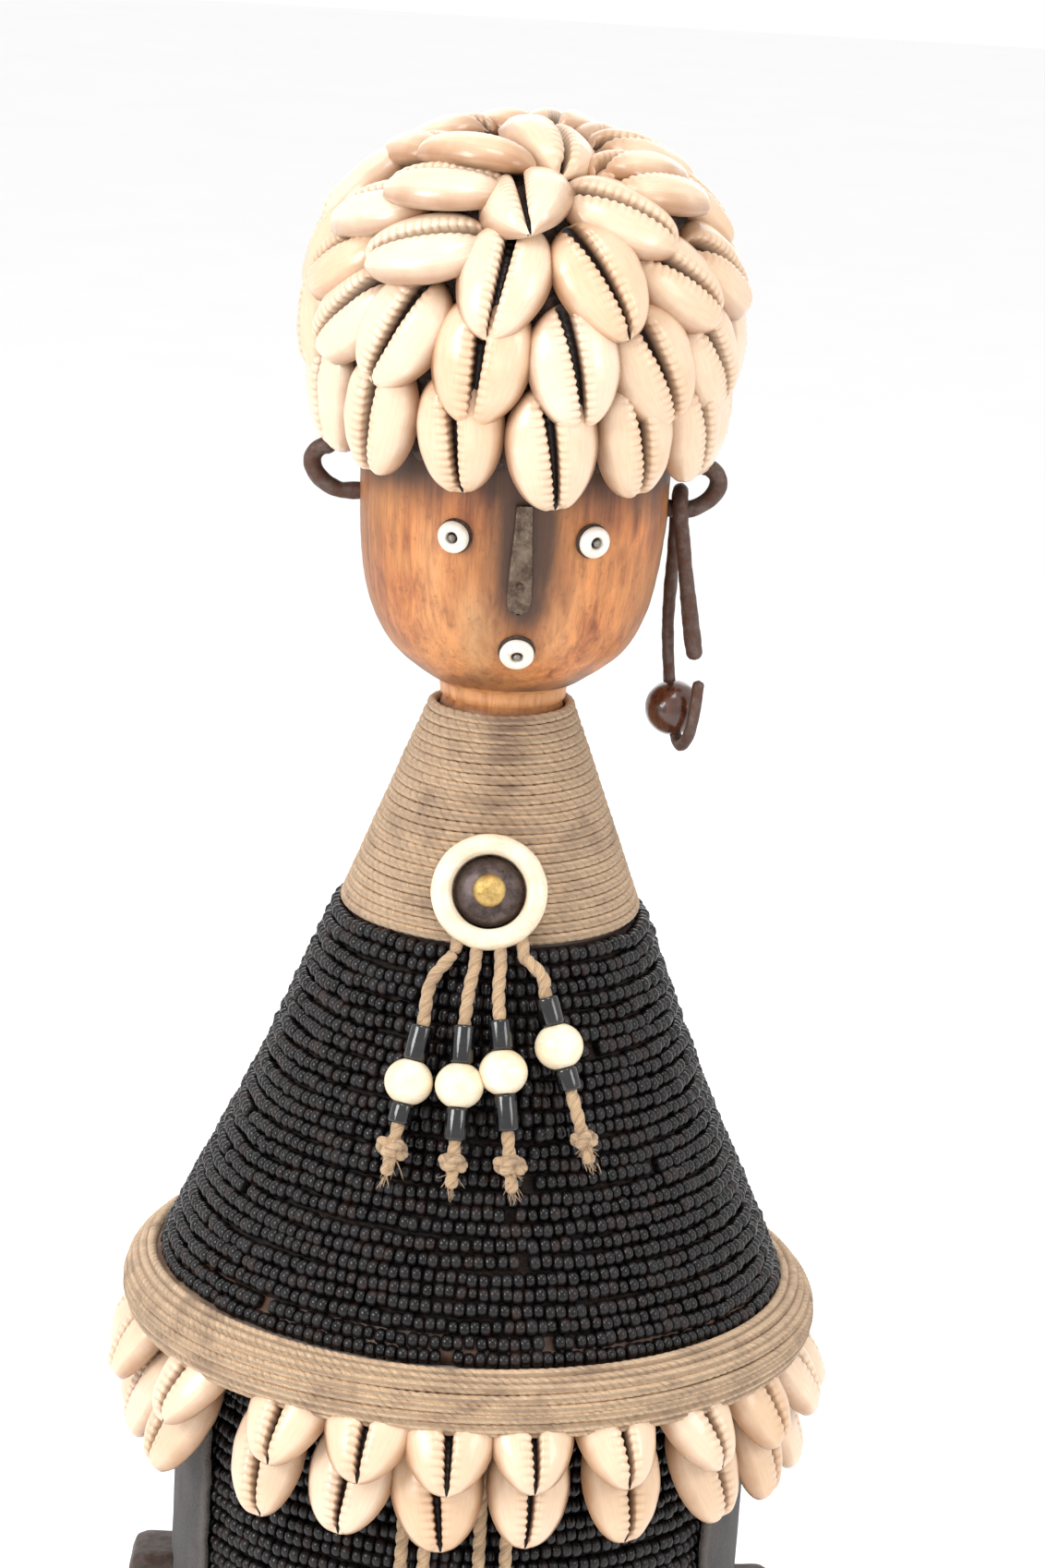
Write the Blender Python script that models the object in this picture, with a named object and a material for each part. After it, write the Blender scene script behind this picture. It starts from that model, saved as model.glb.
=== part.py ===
"""Cowrie-capped fertility doll: a carved wooden core dressed with pitch, shells, twine, beads and wire.

Frame: origin on the floor under the middle of the body, +Z up, the face looks towards -Y.
All lengths below are in millimetres and are turned into metres where the meshes are made.
"""
import math

import bmesh
import bpy
from mathutils import Matrix, Vector

MM = 0.001
GAP = 0.3                      # air left between neighbouring pieces

# ---- driving dimensions (mm) ---------------------------------------------------------------
SEGMENTS = 36                  # round facets on the large turned shapes
SOLE_Z = 0.0
LEG_X = 16.5                   # sideways position of each leg
ARM_TOP_Z = 57.6
ARM_HALF_WIDTH = 6.5
ARM_REACH = 50.7
DRUM_R = 40.2
DRUM_TOP_Z = 96.6
DRUM_LOW_Z = 56.0
SHOULDER_R = 46.0              # seat of the rope band
BAND_LOW_Z = 101.2
BAND_TOP_Z = 110.4
WAIST_Z = 164.5                # where the bead wrap meets the twine
WAIST_R = 21.5
NECK_Z = 198.3
NECK_R = 9.5
TWINE_D = 1.5
SEED_BEAD_D = 2.3
FACE_YAW = math.radians(4.8)   # the face is turned a little to the doll's left
HEAD_TOP_Z = 276.8
EYE_YAW = math.radians(25.4)
EYE_Z = 226.6
MOUTH_Z = 209.7
NOSE_LOW_Z = 215.5
NOSE_TOP_Z = 232.0
NOSE_W = 3.0
HOOP_WIRE_R = 1.3
HOOP_Z = 227.8
BEAD_CENTRE = Vector((25.6, -0.3, 197.0))          # of the earring, before it hangs level
BEAD_AXIS = Vector((-0.17, 0.30, 0.94)).normalized()
EARRING_X = 24.6
EARRING_BEAD_R = 4.2
EARRING_HANG = math.radians(3.1)   # turn that brings the earring's weight under the hoop
SHELL_BULGE = 4.3              # height of a cowrie over the surface it is set on
HAT_ROW_COUNTS = (14, 14, 14, 11, 6)
HAT_ROW_SPANS = ((0.0, 12.5), (13.0, 24.6), (25.4, 36.4), (37.2, 49.6), (50.4, 57.0))
FRINGE_UPPER_COUNT = 24
FRINGE_LOWER_COUNT = 22
MEDALLION_Z = 173.0
MEDALLION_TILT = math.radians(21.3)
PENDANT_CORD_R = 1.0
PENDANT_TUBE_R = 1.75
PENDANT_BEAD_R = 3.35
PENDANT_LIFT = 3.7             # cord centre above the chest where the beads hang
FRONT_CORD_R = 1.0
FRONT_CORD_X = (-7.4, -4.2, 3.6, 7.4)
FRONT_CORD_ENDS = (46.0, 42.0, 44.0, 40.0)

# outline of the head, chin to crown, as (radius, height)
HEAD_PROFILE = (
    (9.6, 200.3), (11.8, 201.5), (15.5, 204.2), (18.5, 207.5), (20.7, 212.0),
    (22.1, 218.3), (22.6, 223.3), (23.0, 230.7), (23.1, 242.7), (23.9, 250.8), (23.5, 259.0),
    (20.7, 266.0), (15.0, 272.4), (7.6, 275.8), (0.0, HEAD_TOP_Z),
)
# outside of the pitch cap, rim to crown
CAP_PROFILE = (
    (24.4, 232.5), (25.8, 236.5), (27.9, 244.7), (28.9, 252.9), (29.0, 257.0), (28.2, 262.1),
    (26.0, 268.3), (22.4, 273.4), (17.4, 277.2), (11.2, 279.5), (4.1, 280.3), (0.0, 280.4),
)
# outside of the beaded skirt of the chest, waist to band
CHEST_PROFILE = ((24.1, 164.2), (34.7, 137.5), (44.7, 116.5), (47.8, 111.2))

# (x, height) of each pendant: at the medallion, at a bend, at the first tube, at the knot
PENDANT_ROUTES = (
    ((-4.8, 164.8), (-8.1, 160.7), (-8.9, 155.0), (-12.3, 137.9)),
    ((-1.8, 163.3), (-2.4, 160.3), (-2.8, 155.7), (-3.3, 137.0)),
    ((2.0, 163.3), (1.9, 160.2), (2.3, 156.7), (5.0, 137.0)),
    ((5.4, 164.6), (8.2, 162.3), (8.9, 159.8), (15.6, 140.1)),
)
# along the straight run below the first tube's top: tube, bead, tube lengths in mm
PENDANT_UPPER_TUBES = (5.2, 5.6, 4.4, 4.2)
PENDANT_LOWER_TUBES = (3.0, 4.8, 5.4, 3.4)
PENDANT_KNOT_R = (2.4, 2.1, 2.4, 2.0)
PENDANT_TAIL = 1.8             # cord end showing below each knot


# ---- materials ------------------------------------------------------------------------------
def material(name, colour, roughness, metallic=0.0):
    mat = bpy.data.materials.new(name)
    mat.use_nodes = True
    shader = mat.node_tree.nodes["Principled BSDF"]
    shader.inputs["Base Color"].default_value = (*colour, 1.0)
    shader.inputs["Roughness"].default_value = roughness
    shader.inputs["Metallic"].default_value = metallic
    mat.diffuse_color = (*colour, 1.0)
    return mat


# ---- mesh helpers ---------------------------------------------------------------------------
def add_mesh(name, verts, faces, look, smooth=True, location=(0, 0, 0)):
    """Make one object from millimetre points, given about the object's own origin."""
    mesh = bpy.data.meshes.new(name)
    mesh.from_pydata([(x * MM, y * MM, z * MM) for x, y, z in verts], [], faces)
    bm = bmesh.new()
    bm.from_mesh(mesh)
    bmesh.ops.remove_doubles(bm, verts=bm.verts, dist=1e-6)
    bmesh.ops.recalc_face_normals(bm, faces=bm.faces)
    bm.to_mesh(mesh)
    bm.free()
    for polygon in mesh.polygons:
        polygon.use_smooth = smooth
    obj = bpy.data.objects.new(name, mesh)
    obj.location = [c * MM for c in location]
    bpy.context.collection.objects.link(obj)
    if look is not None:
        mesh.materials.append(look)
    return obj


def sweep_sections(sections, closed):
    """Join equal closed sections, either round in a ring or with a cap at both ends."""
    count = len(sections[0])
    verts = [point for section in sections for point in section]
    faces = []
    pairs = len(sections) if closed else len(sections) - 1
    for i in range(pairs):
        a = i * count
        b = ((i + 1) % len(sections)) * count
        for j in range(count):
            k = (j + 1) % count
            faces.append((a + j, a + k, b + k, b + j))
    if not closed:
        faces.append(tuple(reversed(range(count))))
        faces.append(tuple(range((len(sections) - 1) * count, len(sections) * count)))
    return verts, faces


def lathe(name, profile, look, segments=SEGMENTS, smooth=True, location=(0, 0, 0)):
    """Turn a (radius, height) outline about Z. Points on the axis close the shape."""
    verts = []
    faces = []
    rings = []
    for radius, height in profile:
        if radius < 1e-6:
            rings.append([len(verts)])
            verts.append((0.0, 0.0, height))
        else:
            rings.append(list(range(len(verts), len(verts) + segments)))
            for i in range(segments):
                angle = 2 * math.pi * i / segments
                verts.append((radius * math.cos(angle), radius * math.sin(angle), height))
    for n, low in enumerate(rings):
        high = rings[(n + 1) % len(rings)]
        if len(low) == 1 and len(high) == 1:
            continue
        for i in range(segments):
            j = (i + 1) % segments
            if len(low) == 1:
                faces.append((low[0], high[j], high[i]))
            elif len(high) == 1:
                faces.append((low[i], low[j], high[0]))
            else:
                faces.append((low[i], low[j], high[j], high[i]))
    return add_mesh(name, verts, faces, look, smooth, location)


def tube(name, points, radii, look, sides=10, location=(0, 0, 0)):
    """Sweep a circle along points, keeping its frame from twisting."""
    path = [Vector(p) for p in points]
    tangents = []
    for i in range(len(path)):
        ahead = path[min(i + 1, len(path) - 1)]
        behind = path[max(i - 1, 0)]
        tangents.append((ahead - behind).normalized())
    side = tangents[0].orthogonal().normalized()
    sections = []
    for point, tangent, radius in zip(path, tangents, radii):
        side = (side - tangent * side.dot(tangent)).normalized()
        up = tangent.cross(side)
        ring = []
        for i in range(sides):
            angle = 2 * math.pi * i / sides
            offset = side * math.cos(angle) * radius + up * math.sin(angle) * radius
            ring.append(tuple(point + offset))
        sections.append(ring)
    verts, faces = sweep_sections(sections, closed=False)
    return add_mesh(name, verts, faces, look, True, location)


def smooth_curve(points, per_span):
    """Catmull-Rom curve through the points."""
    path = [Vector(p) for p in points]
    ends = [path[0] * 2 - path[1]] + path + [path[-1] * 2 - path[-2]]
    out = []
    for i in range(1, len(ends) - 2):
        p0, p1, p2, p3 = ends[i - 1:i + 3]
        for k in range(per_span):
            t = k / per_span
            out.append(0.5 * (2 * p1 + (p2 - p0) * t + (2 * p0 - 5 * p1 + 4 * p2 - p3) * t * t
                              + (3 * p1 - p0 - 3 * p2 + p3) * t ** 3))
    out.append(path[-1])
    return out


def cord(name, points, radius, look, origin):
    """A plain round cord, as a bevelled curve with filled ends."""
    data = bpy.data.curves.new(name, "CURVE")
    data.dimensions = "3D"
    data.bevel_depth = radius * MM
    data.bevel_resolution = 2
    data.use_fill_caps = True
    spline = data.splines.new("POLY")
    spline.points.add(len(points) - 1)
    for target, point in zip(spline.points, points):
        local = (Vector(point) - Vector(origin)) * MM
        target.co = (*local, 1.0)
    obj = bpy.data.objects.new(name, data)
    obj.location = Vector(origin) * MM
    data.materials.append(look)
    bpy.context.collection.objects.link(obj)
    return obj


def combine(target, tool, operation):
    """Bake one exact boolean into the target and drop the tool."""
    modifier = target.modifiers.new(operation.lower(), "BOOLEAN")
    modifier.operation = operation
    modifier.solver = "EXACT"
    modifier.object = tool
    graph = bpy.context.evaluated_depsgraph_get()
    result = bpy.data.meshes.new_from_object(target.evaluated_get(graph))
    target.modifiers.clear()
    target.data = result
    bpy.data.objects.remove(tool)


def rod_between(name, start, end, radius, sides=12):
    """A loose cylinder used as a drill."""
    return tube(name, (start, end), (radius, radius), None, sides)


def turn_to(obj, direction):
    """Point the object's own +Z along direction."""
    obj.rotation_mode = "QUATERNION"
    obj.rotation_quaternion = Vector(direction).normalized().to_track_quat("Z", "Y")


def profile_radius(profile, height):
    """Radius of an outline at a height."""
    ordered = sorted((z, r) for r, z in profile)
    if height <= ordered[0][0]:
        return ordered[0][1]
    for (z0, r0), (z1, r1) in zip(ordered, ordered[1:]):
        if height <= z1:
            return r0 + (r1 - r0) * (height - z0) / (z1 - z0)
    return ordered[-1][1]


def face_point(yaw, height, lift):
    """A point over the head's surface and the outward direction there."""
    radius = profile_radius(HEAD_PROFILE, height)
    slope = profile_radius(HEAD_PROFILE, height + 1.0) - profile_radius(HEAD_PROFILE, height - 1.0)
    outward = Vector((math.sin(yaw), -math.cos(yaw), -slope / 2.0)).normalized()
    base = Vector((math.sin(yaw) * radius, -math.cos(yaw) * radius, height))
    return base + outward * lift, outward


# ---- the carved core ------------------------------------------------------------------------
def build_leg(side):
    sections = []
    levels = ((SOLE_Z, 12.8, 16.2, -4.0), (1.2, 13.6, 17.0, -4.0), (9.0, 13.2, 16.0, -3.6),
              (13.0, 11.4, 12.4, -1.4), (18.0, 10.8, 11.2, 0.0), (34.0, 11.0, 11.4, 0.0),
              (50.0, 12.4, 12.6, 0.0))
    for height, half_x, half_y, shift in levels:
        ring = []
        for i in range(16):
            angle = 2 * math.pi * (i + 0.5) / 16
            ring.append((side * LEG_X + half_x * math.cos(angle),
                         shift + half_y * math.sin(angle), height))
        sections.append(ring)
    verts, faces = sweep_sections(sections, closed=False)
    return add_mesh("leg_tool", verts, faces, None)


def build_core(look):
    body = [(0.0, 43.4), (26.0, 43.8), (33.0, 46.4), (39.0, 51.0), (DRUM_R, DRUM_LOW_Z),
            (DRUM_R, DRUM_TOP_Z), (42.4, 103.4), (42.4, 106.6), (SHOULDER_R, 108.4),
            (SHOULDER_R, 110.7)]
    for radius, height in reversed(CHEST_PROFILE):
        body.append((radius - SEED_BEAD_D - GAP, height))
    body.append((WAIST_R, WAIST_Z))
    body.append((NECK_R - 0.8, NECK_Z - 0.2))
    body.append((NECK_R, NECK_Z))
    body.extend(HEAD_PROFILE)
    core = lathe("carved_core", body, look)
    for side in (-1, 1):
        combine(core, build_leg(side), "UNION")
    for yaw, height in ((FACE_YAW - EYE_YAW, EYE_Z), (FACE_YAW + EYE_YAW, EYE_Z),
                        (FACE_YAW, MOUTH_Z)):
        outer, outward = face_point(yaw, height, 2.0)
        combine(core, rod_between("drill", outer - outward * 6.0, outer, 0.85), "DIFFERENCE")
    for side in (-1, 1):
        hole = rod_between("drill", (side * 19.4, 0, HOOP_Z), (side * 26.0, 0, HOOP_Z),
                           HOOP_WIRE_R + GAP)
        combine(core, hole, "DIFFERENCE")
        hole = rod_between("drill", (side * 34.0, 0, 53.2), (side * 46.0, 0, 53.2), 3.3)
        combine(core, hole, "DIFFERENCE")
    for polygon in core.data.polygons:
        polygon.use_smooth = True
    return core


def build_arm(name, side, look):
    outline = ((40.6, ARM_TOP_Z), (48.3, ARM_TOP_Z), (50.0, 56.7), (ARM_REACH, 54.8),
               (50.5, 46.4), (49.1, 43.2), (46.5, 42.0), (42.5, 44.4), (40.6, 50.0))
    widths = (-ARM_HALF_WIDTH, -ARM_HALF_WIDTH + 1.2, ARM_HALF_WIDTH - 1.2, ARM_HALF_WIDTH)
    centre_x = sum(p[0] for p in outline) / len(outline)
    centre_z = sum(p[1] for p in outline) / len(outline)
    sections = []
    for width in widths:
        shrink = 0.86 if abs(width) == ARM_HALF_WIDTH else 1.0
        sections.append([(side * (centre_x + (x - centre_x) * shrink), width,
                          centre_z + (z - centre_z) * shrink) for x, z in outline])
    verts, faces = sweep_sections(sections, closed=False)
    arm = add_mesh(name, verts, faces, look, smooth=False)
    peg = rod_between("peg", (side * 35.0, 0, 53.2), (side * 46.0, 0, 53.2), 3.0)
    combine(arm, peg, "UNION")
    return arm


# ---- cap, shells and wraps ------------------------------------------------------------------
def build_cap(look):
    inner = []
    for radius, height in HEAD_PROFILE:
        if height > 228.0:
            lift = GAP if radius > 1.0 else 0.0
            inner.append((radius + lift, height + (GAP if height > 253.0 else 0.0)))
    inner[0] = (profile_radius(HEAD_PROFILE, 232.5) + GAP, 232.7)
    return lathe("hair_pitch_cap", inner + list(reversed(CAP_PROFILE)), look)


def along_cap(distance, lift):
    """Point on the cap's outline at a distance up from its rim, raised off the surface."""
    left = distance
    for (r0, z0), (r1, z1) in zip(CAP_PROFILE, CAP_PROFILE[1:]):
        length = math.hypot(r1 - r0, z1 - z0)
        if left <= length or r1 == 0.0:
            t = left / length
            normal = ((z1 - z0) / length, -(r1 - r0) / length)
            return (r0 + (r1 - r0) * t + normal[0] * lift, z0 + (z1 - z0) * t + normal[1] * lift)
        left -= length
    return CAP_PROFILE[-1]


def cap_bends():
    """Distances up from the rim at which the cap's outline bends."""
    out = [0.0]
    for (r0, z0), (r1, z1) in zip(CAP_PROFILE, CAP_PROFILE[1:]):
        out.append(out[-1] + math.hypot(r1 - r0, z1 - z0))
    return out


def shell_swell(step, steps):
    """0 between two shells and 1 at the middle of one."""
    t = 2.0 * (step % steps) / steps - 1.0
    return math.sqrt(max(0.0, 1.0 - t * t))


def build_hat_row(name, count, span, look, steps=4):
    """One ring of overlapping cowries, kept as a single scalloped body."""
    bends = cap_bends()
    sections = []
    for i in range(count * steps):
        swell = shell_swell(i, steps)
        low = span[0] + (span[1] - span[0]) * 0.45 * (1.0 - swell)
        high = span[1]
        rise = 0.35 + 0.65 * swell
        stations = ((0.0, 1.0), (0.3, SHELL_BULGE), (0.62, SHELL_BULGE), (1.0, 1.6))
        ring = [along_cap(low + (high - low) * t, GAP + 0.3 + h * rise) for t, h in stations]
        inside = [s for s in bends if span[0] + 0.5 < s < high - 0.5]
        seat = [high] + [max(s, low) for s in reversed(inside)] + [low]
        seat = [s + 0.02 * (len(seat) - k) * (s <= low) for k, s in enumerate(seat)]
        ring.extend(along_cap(s, GAP + 0.2) for s in seat)
        angle = 2 * math.pi * i / (count * steps)
        sections.append([(r * math.cos(angle), r * math.sin(angle), z) for r, z in ring])
    verts, faces = sweep_sections(sections, closed=True)
    return add_mesh(name, verts, faces, look)


def build_fringe(name, count, outline, seat, look, steps=4):
    """One tier of hanging cowries, kept as a single scalloped ring over its seat."""
    low = min(z for r, z in outline)
    high = max(z for r, z in outline)
    sections = []
    for i in range(count * steps):
        swell = shell_swell(i, steps)
        ring = []
        for radius, height in outline:
            back = profile_radius(seat, height) + 0.8
            lift = 4.0 * (1.0 - swell) * max(0.0, 1.0 - (height - low) / (0.35 * (high - low)))
            ring.append((back + (radius - back) * (0.4 + 0.6 * swell), height + lift))
        for k, (radius, height) in enumerate(reversed(seat)):
            ring.append((radius, height + (3.4 * (1.0 - swell) if k == len(seat) - 1 else 0.0)))
        angle = 2 * math.pi * (i + 0.5 * steps) / (count * steps)
        sections.append([(r * math.cos(angle), r * math.sin(angle), z) for r, z in ring])
    verts, faces = sweep_sections(sections, closed=True)
    return add_mesh(name, verts, faces, look)


def build_crown_shell(look):
    verts = []
    rings = ((1.0, 0.0), (1.0, 0.9), (0.86, 2.2), (0.5, 3.1))
    sections = []
    for scale, height in rings:
        ring = []
        for i in range(14):
            angle = 2 * math.pi * i / 14
            ring.append((8.8 * scale * math.cos(angle), 6.4 * scale * math.sin(angle), height))
        sections.append(ring)
    verts, faces = sweep_sections(sections, closed=False)
    return add_mesh("crown_cowrie", verts, faces, look, location=(0.6, -0.6, 281.4))


def build_twine(look):
    outer = []
    for height in (NECK_Z - 0.5, (NECK_Z + WAIST_Z) / 2, WAIST_Z + 0.2):
        share = (NECK_Z - 0.2 - height) / (NECK_Z - 0.2 - WAIST_Z)
        radius = NECK_R - 0.8 + (WAIST_R - NECK_R + 0.8) * share
        outer.append((radius + GAP + TWINE_D, height))
    inner = [(radius - TWINE_D, height) for radius, height in reversed(outer)]
    return lathe("neck_twine", outer + inner, look)


def build_upper_wrap(look):
    inner = [(radius - SEED_BEAD_D, height) for radius, height in reversed(CHEST_PROFILE)]
    return lathe("bead_wrap_chest", list(CHEST_PROFILE) + inner, look)


def build_lower_wrap(look):
    inner_r = DRUM_R + GAP
    outer_r = inner_r + SEED_BEAD_D
    top = DRUM_TOP_Z - 0.8
    low = ARM_TOP_Z + 0.6
    outline = ((inner_r, low), (outer_r - 0.5, low), (outer_r, low + 0.6), (outer_r, top - 0.6),
               (outer_r - 0.5, top), (inner_r, top))
    return lathe("bead_wrap_drum", outline, look)


def build_band(look):
    inner_r = SHOULDER_R + GAP
    outline = [(50.9, BAND_LOW_Z), (51.9, BAND_LOW_Z), (52.9, 102.6), (53.4, 104.6), (53.2, 106.6),
               (52.3, 108.5), (50.6, 109.8), (48.4, BAND_TOP_Z), (inner_r, BAND_TOP_Z),
               (inner_r, 108.7), (48.9, 108.2), (50.4, 106.8), (51.0, 104.6)]
    return lathe("rope_band", outline, look)


def build_side_panel(name, side, look):
    """A leather panel curved round the drum, notched for the arm."""
    inner_r = DRUM_R + GAP + SEED_BEAD_D + GAP
    outer_r = inner_r + 1.0
    levels = (95.6, 84.0, 70.0, ARM_TOP_Z + 0.7, 51.0)
    columns = (-30, -20, -10, 0, 10, 20, 30)
    verts = []
    for radius in (inner_r, outer_r):
        for level in levels:
            for degrees in columns:
                angle = math.radians(degrees) + (math.pi if side < 0 else 0.0)
                verts.append((radius * math.cos(angle), radius * math.sin(angle), level))
    wide = len(columns)
    layer = wide * len(levels)
    cells = set()
    for row in range(len(levels) - 1):
        for column in range(wide - 1):
            if row == len(levels) - 2 and column in (2, 3):
                continue
            cells.add((row, column))
    faces = []
    for row, column in sorted(cells):
        a = row * wide + column
        corners = (a, a + 1, a + 1 + wide, a + wide)
        faces.append(tuple(reversed(corners)))
        faces.append(tuple(c + layer for c in corners))
        neighbours = ((row - 1, column), (row, column + 1), (row + 1, column), (row, column - 1))
        for k, neighbour in enumerate(neighbours):
            if neighbour not in cells:
                p = corners[k]
                q = corners[(k + 1) % 4]
                faces.append((p, q, q + layer, p + layer))
    return add_mesh(name, verts, faces, look, smooth=False)


# ---- face -----------------------------------------------------------------------------------
def build_face_bead(name, yaw, height, outer_r, hole_r, thick, look):
    bevel = 0.5
    outline = ((hole_r, 0.0), (outer_r - bevel, 0.0), (outer_r, bevel), (outer_r, thick - bevel),
               (outer_r - bevel, thick), (hole_r, thick))
    bead = lathe(name, outline, look, segments=16)
    position, outward = face_point(yaw, height, GAP + 0.2)
    bead.location = position * MM
    turn_to(bead, outward)
    return bead


def build_face_pin(name, yaw, height, look):
    outline = ((0.0, -3.2), (0.55, -3.2), (0.55, 1.7), (0.4, 2.1), (0.0, 2.2))
    pin = lathe(name, outline, look, segments=10)
    position, outward = face_point(yaw, height, 0.0)
    pin.location = position * MM
    turn_to(pin, outward)
    return pin


def build_nose(look):
    """A flat metal strip bent to the face, rounded at its lower end."""
    heights = [NOSE_LOW_Z, NOSE_LOW_Z + 0.5, NOSE_LOW_Z + 1.5, 219.5, 223.5, 228.0, NOSE_TOP_Z]
    half_widths = [0.6, 1.15, 1.5, NOSE_W / 2, NOSE_W / 2, 1.45, 1.35]
    sections = []
    for height, half in zip(heights, half_widths):
        ring = []
        for lift in (0.35, 1.15):
            order = (-1, 1) if lift < 1.0 else (1, -1)
            for sign in order:
                radius = profile_radius(HEAD_PROFILE, height) + lift
                yaw = FACE_YAW - math.radians(0.8) + sign * half / radius
                ring.append((radius * math.sin(yaw), -radius * math.cos(yaw), height))
        sections.append(ring)
    verts, faces = sweep_sections(sections, closed=False)
    return add_mesh("nose_strip", verts, faces, look, smooth=False)


def build_nose_nail(look):
    outline = ((0.0, 0.0), (0.8, 0.0), (0.75, 0.35), (0.4, 0.6), (0.0, 0.65))
    nail = lathe("nose_nail", outline, look, segments=10)
    position, outward = face_point(FACE_YAW - math.radians(0.8), 220.1, 1.5)
    nail.location = position * MM
    turn_to(nail, outward)
    return nail


# ---- ears -----------------------------------------------------------------------------------
def build_hoop(name, side, look):
    route = ((20.2, HOOP_Z), (22.8, HOOP_Z), (26.0, HOOP_Z), (28.6, 229.2), (30.0, 231.2),
             (29.9, 233.0), (28.6, 234.2), (26.6, 234.4))
    points = smooth_curve([(side * x, 0.0, z) for x, z in route], 2)
    return tube(name, points, [HOOP_WIRE_R] * len(points), look)


def build_earring_wire(look):
    """A length of iron wire folded over the hoop, its free end hooked up below the bead."""
    fold_r = HOOP_WIRE_R + GAP + 1.1
    pivot = Vector((EARRING_X, 0.0, HOOP_Z))
    route = [(28.4, -1.6, 205.0), (27.3, -1.9, 211.2), (25.9, -2.4, 219.8)]
    for degrees in (0, 45, 90, 135, 180):
        angle = math.radians(degrees)
        route.append((EARRING_X + 0.1 - degrees / 900.0, -fold_r * math.cos(angle),
                      HOOP_Z + fold_r * math.sin(angle)))
    route += [(24.2, 2.2, 219.2), (24.1, 1.6, 209.6)]
    route += [tuple(BEAD_CENTRE + BEAD_AXIS * d) for d in (4.6, 1.5, -1.5, -4.4)]
    route += [(27.1, -3.9, 192.3), (28.1, -5.4, 194.5), (28.7, -5.5, 198.1), (29.1, -4.1, 202.7)]
    points = smooth_curve(route, 2)
    radii = []
    for index in range(len(points)):
        share = index / (len(points) - 1)
        radii.append(1.25 if share < 0.1 else 1.1 if share < 0.42 else 0.95)
    local = [point - pivot for point in points]
    wire = tube("earring_wire", local, radii, look, sides=8, location=pivot)
    wire.rotation_euler.x = EARRING_HANG
    return wire


def build_earring_bead(look):
    hang = Matrix.Rotation(EARRING_HANG, 3, "X")
    pivot = Vector((EARRING_X, 0.0, HOOP_Z))
    centre = pivot + hang @ (BEAD_CENTRE - pivot)
    return build_round_bead("earring_bead", EARRING_BEAD_R, 1.2, look, centre, hang @ BEAD_AXIS,
                            segments=16)


def build_round_bead(name, radius, hole_r, look, location, direction, squash=1.0, segments=14):
    """A drilled bead about its own +Z hole."""
    reach = math.sqrt(radius * radius - hole_r * hole_r)
    outline = [(hole_r, -reach * squash)]
    for degrees in (-50, -25, 0, 25, 50):
        angle = math.radians(degrees)
        outline.append((radius * math.cos(angle), radius * math.sin(angle) * squash))
    outline.append((hole_r, reach * squash))
    bead = lathe(name, outline, look, segments=segments)
    bead.location = Vector(location) * MM
    turn_to(bead, direction)
    return bead


# ---- medallion and pendants -----------------------------------------------------------------
def build_medallion(looks):
    """Ring, dome and stud on one tilted seat over the twine."""
    outward = Vector((0.0, -math.cos(MEDALLION_TILT), math.sin(MEDALLION_TILT)))
    centre = Vector((-0.3, -20.6, MEDALLION_Z))
    outlines = {
        "medallion_ring": ((5.5, 0.0), (8.1, 0.0), (8.6, 0.7), (8.4, 1.7), (7.2, 2.5), (6.2, 2.5),
                           (5.5, 1.7)),
        "medallion_dome": ((1.1, 0.0), (5.2, 0.0), (5.2, 0.8), (4.5, 2.2), (3.1, 3.2), (1.1, 3.7)),
        "medallion_stud": ((0.0, 0.2), (0.8, 0.2), (0.8, 4.1), (2.0, 4.1), (1.9, 4.6), (1.2, 5.1),
                           (0.0, 5.3)),
    }
    for name, outline in outlines.items():
        piece = lathe(name, outline, looks[name], segments=20)
        piece.location = centre * MM
        turn_to(piece, outward)


def chest_surface(x, height, lift):
    """Point over the front of the chest at a sideways position and height."""
    radius = profile_radius(CHEST_PROFILE, height)
    if height > WAIST_Z:
        share = (NECK_Z - height) / (NECK_Z - WAIST_Z)
        radius = NECK_R + 1.0 + (WAIST_R + GAP + TWINE_D - NECK_R - 1.0) * share
    radius += lift
    return Vector((x, -math.sqrt(radius * radius - x * x), height))


def build_pendant(index, looks):
    tag = "pendant_%d_" % (index + 1)
    top, bend, start, finish = PENDANT_ROUTES[index]
    pivot = chest_surface(*top, 1.9)
    first = chest_surface(*start, PENDANT_LIFT)
    last = chest_surface(*finish, PENDANT_LIFT)
    along = (last - first).normalized()
    route = [pivot, chest_surface(*bend, 2.6), first - along * 0.6]
    points = smooth_curve(route, 3)
    knot_r = PENDANT_KNOT_R[index]
    run = (last - first).length + knot_r + PENDANT_TAIL
    steps = 5
    points += [first - along * 0.6 + along * (run + 0.6) * k / steps for k in range(1, steps + 1)]
    cord(tag + "cord", points, PENDANT_CORD_R, looks["cord"], pivot)
    hole_r = PENDANT_CORD_R + 0.25
    upper = PENDANT_UPPER_TUBES[index]
    lower = PENDANT_LOWER_TUBES[index]
    bead_at = upper + GAP + PENDANT_BEAD_R * 0.93 * 0.95
    pieces = (("upper_tube", upper / 2, upper), ("lower_tube", 2 * bead_at - upper + lower / 2, lower))
    for label, distance, length in pieces:
        outline = ((hole_r, -length / 2), (PENDANT_TUBE_R, -length / 2),
                   (PENDANT_TUBE_R, length / 2), (hole_r, length / 2))
        piece = lathe(tag + label, outline, looks["tube"], segments=12)
        piece.location = (first + along * distance) * MM
        turn_to(piece, -along)
    build_round_bead(tag + "bead", PENDANT_BEAD_R, hole_r, looks["bead"], first + along * bead_at,
                     -along, squash=0.95)
    build_round_bead(tag + "knot", knot_r, hole_r, looks["cord"], last, -along, segments=10)


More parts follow.
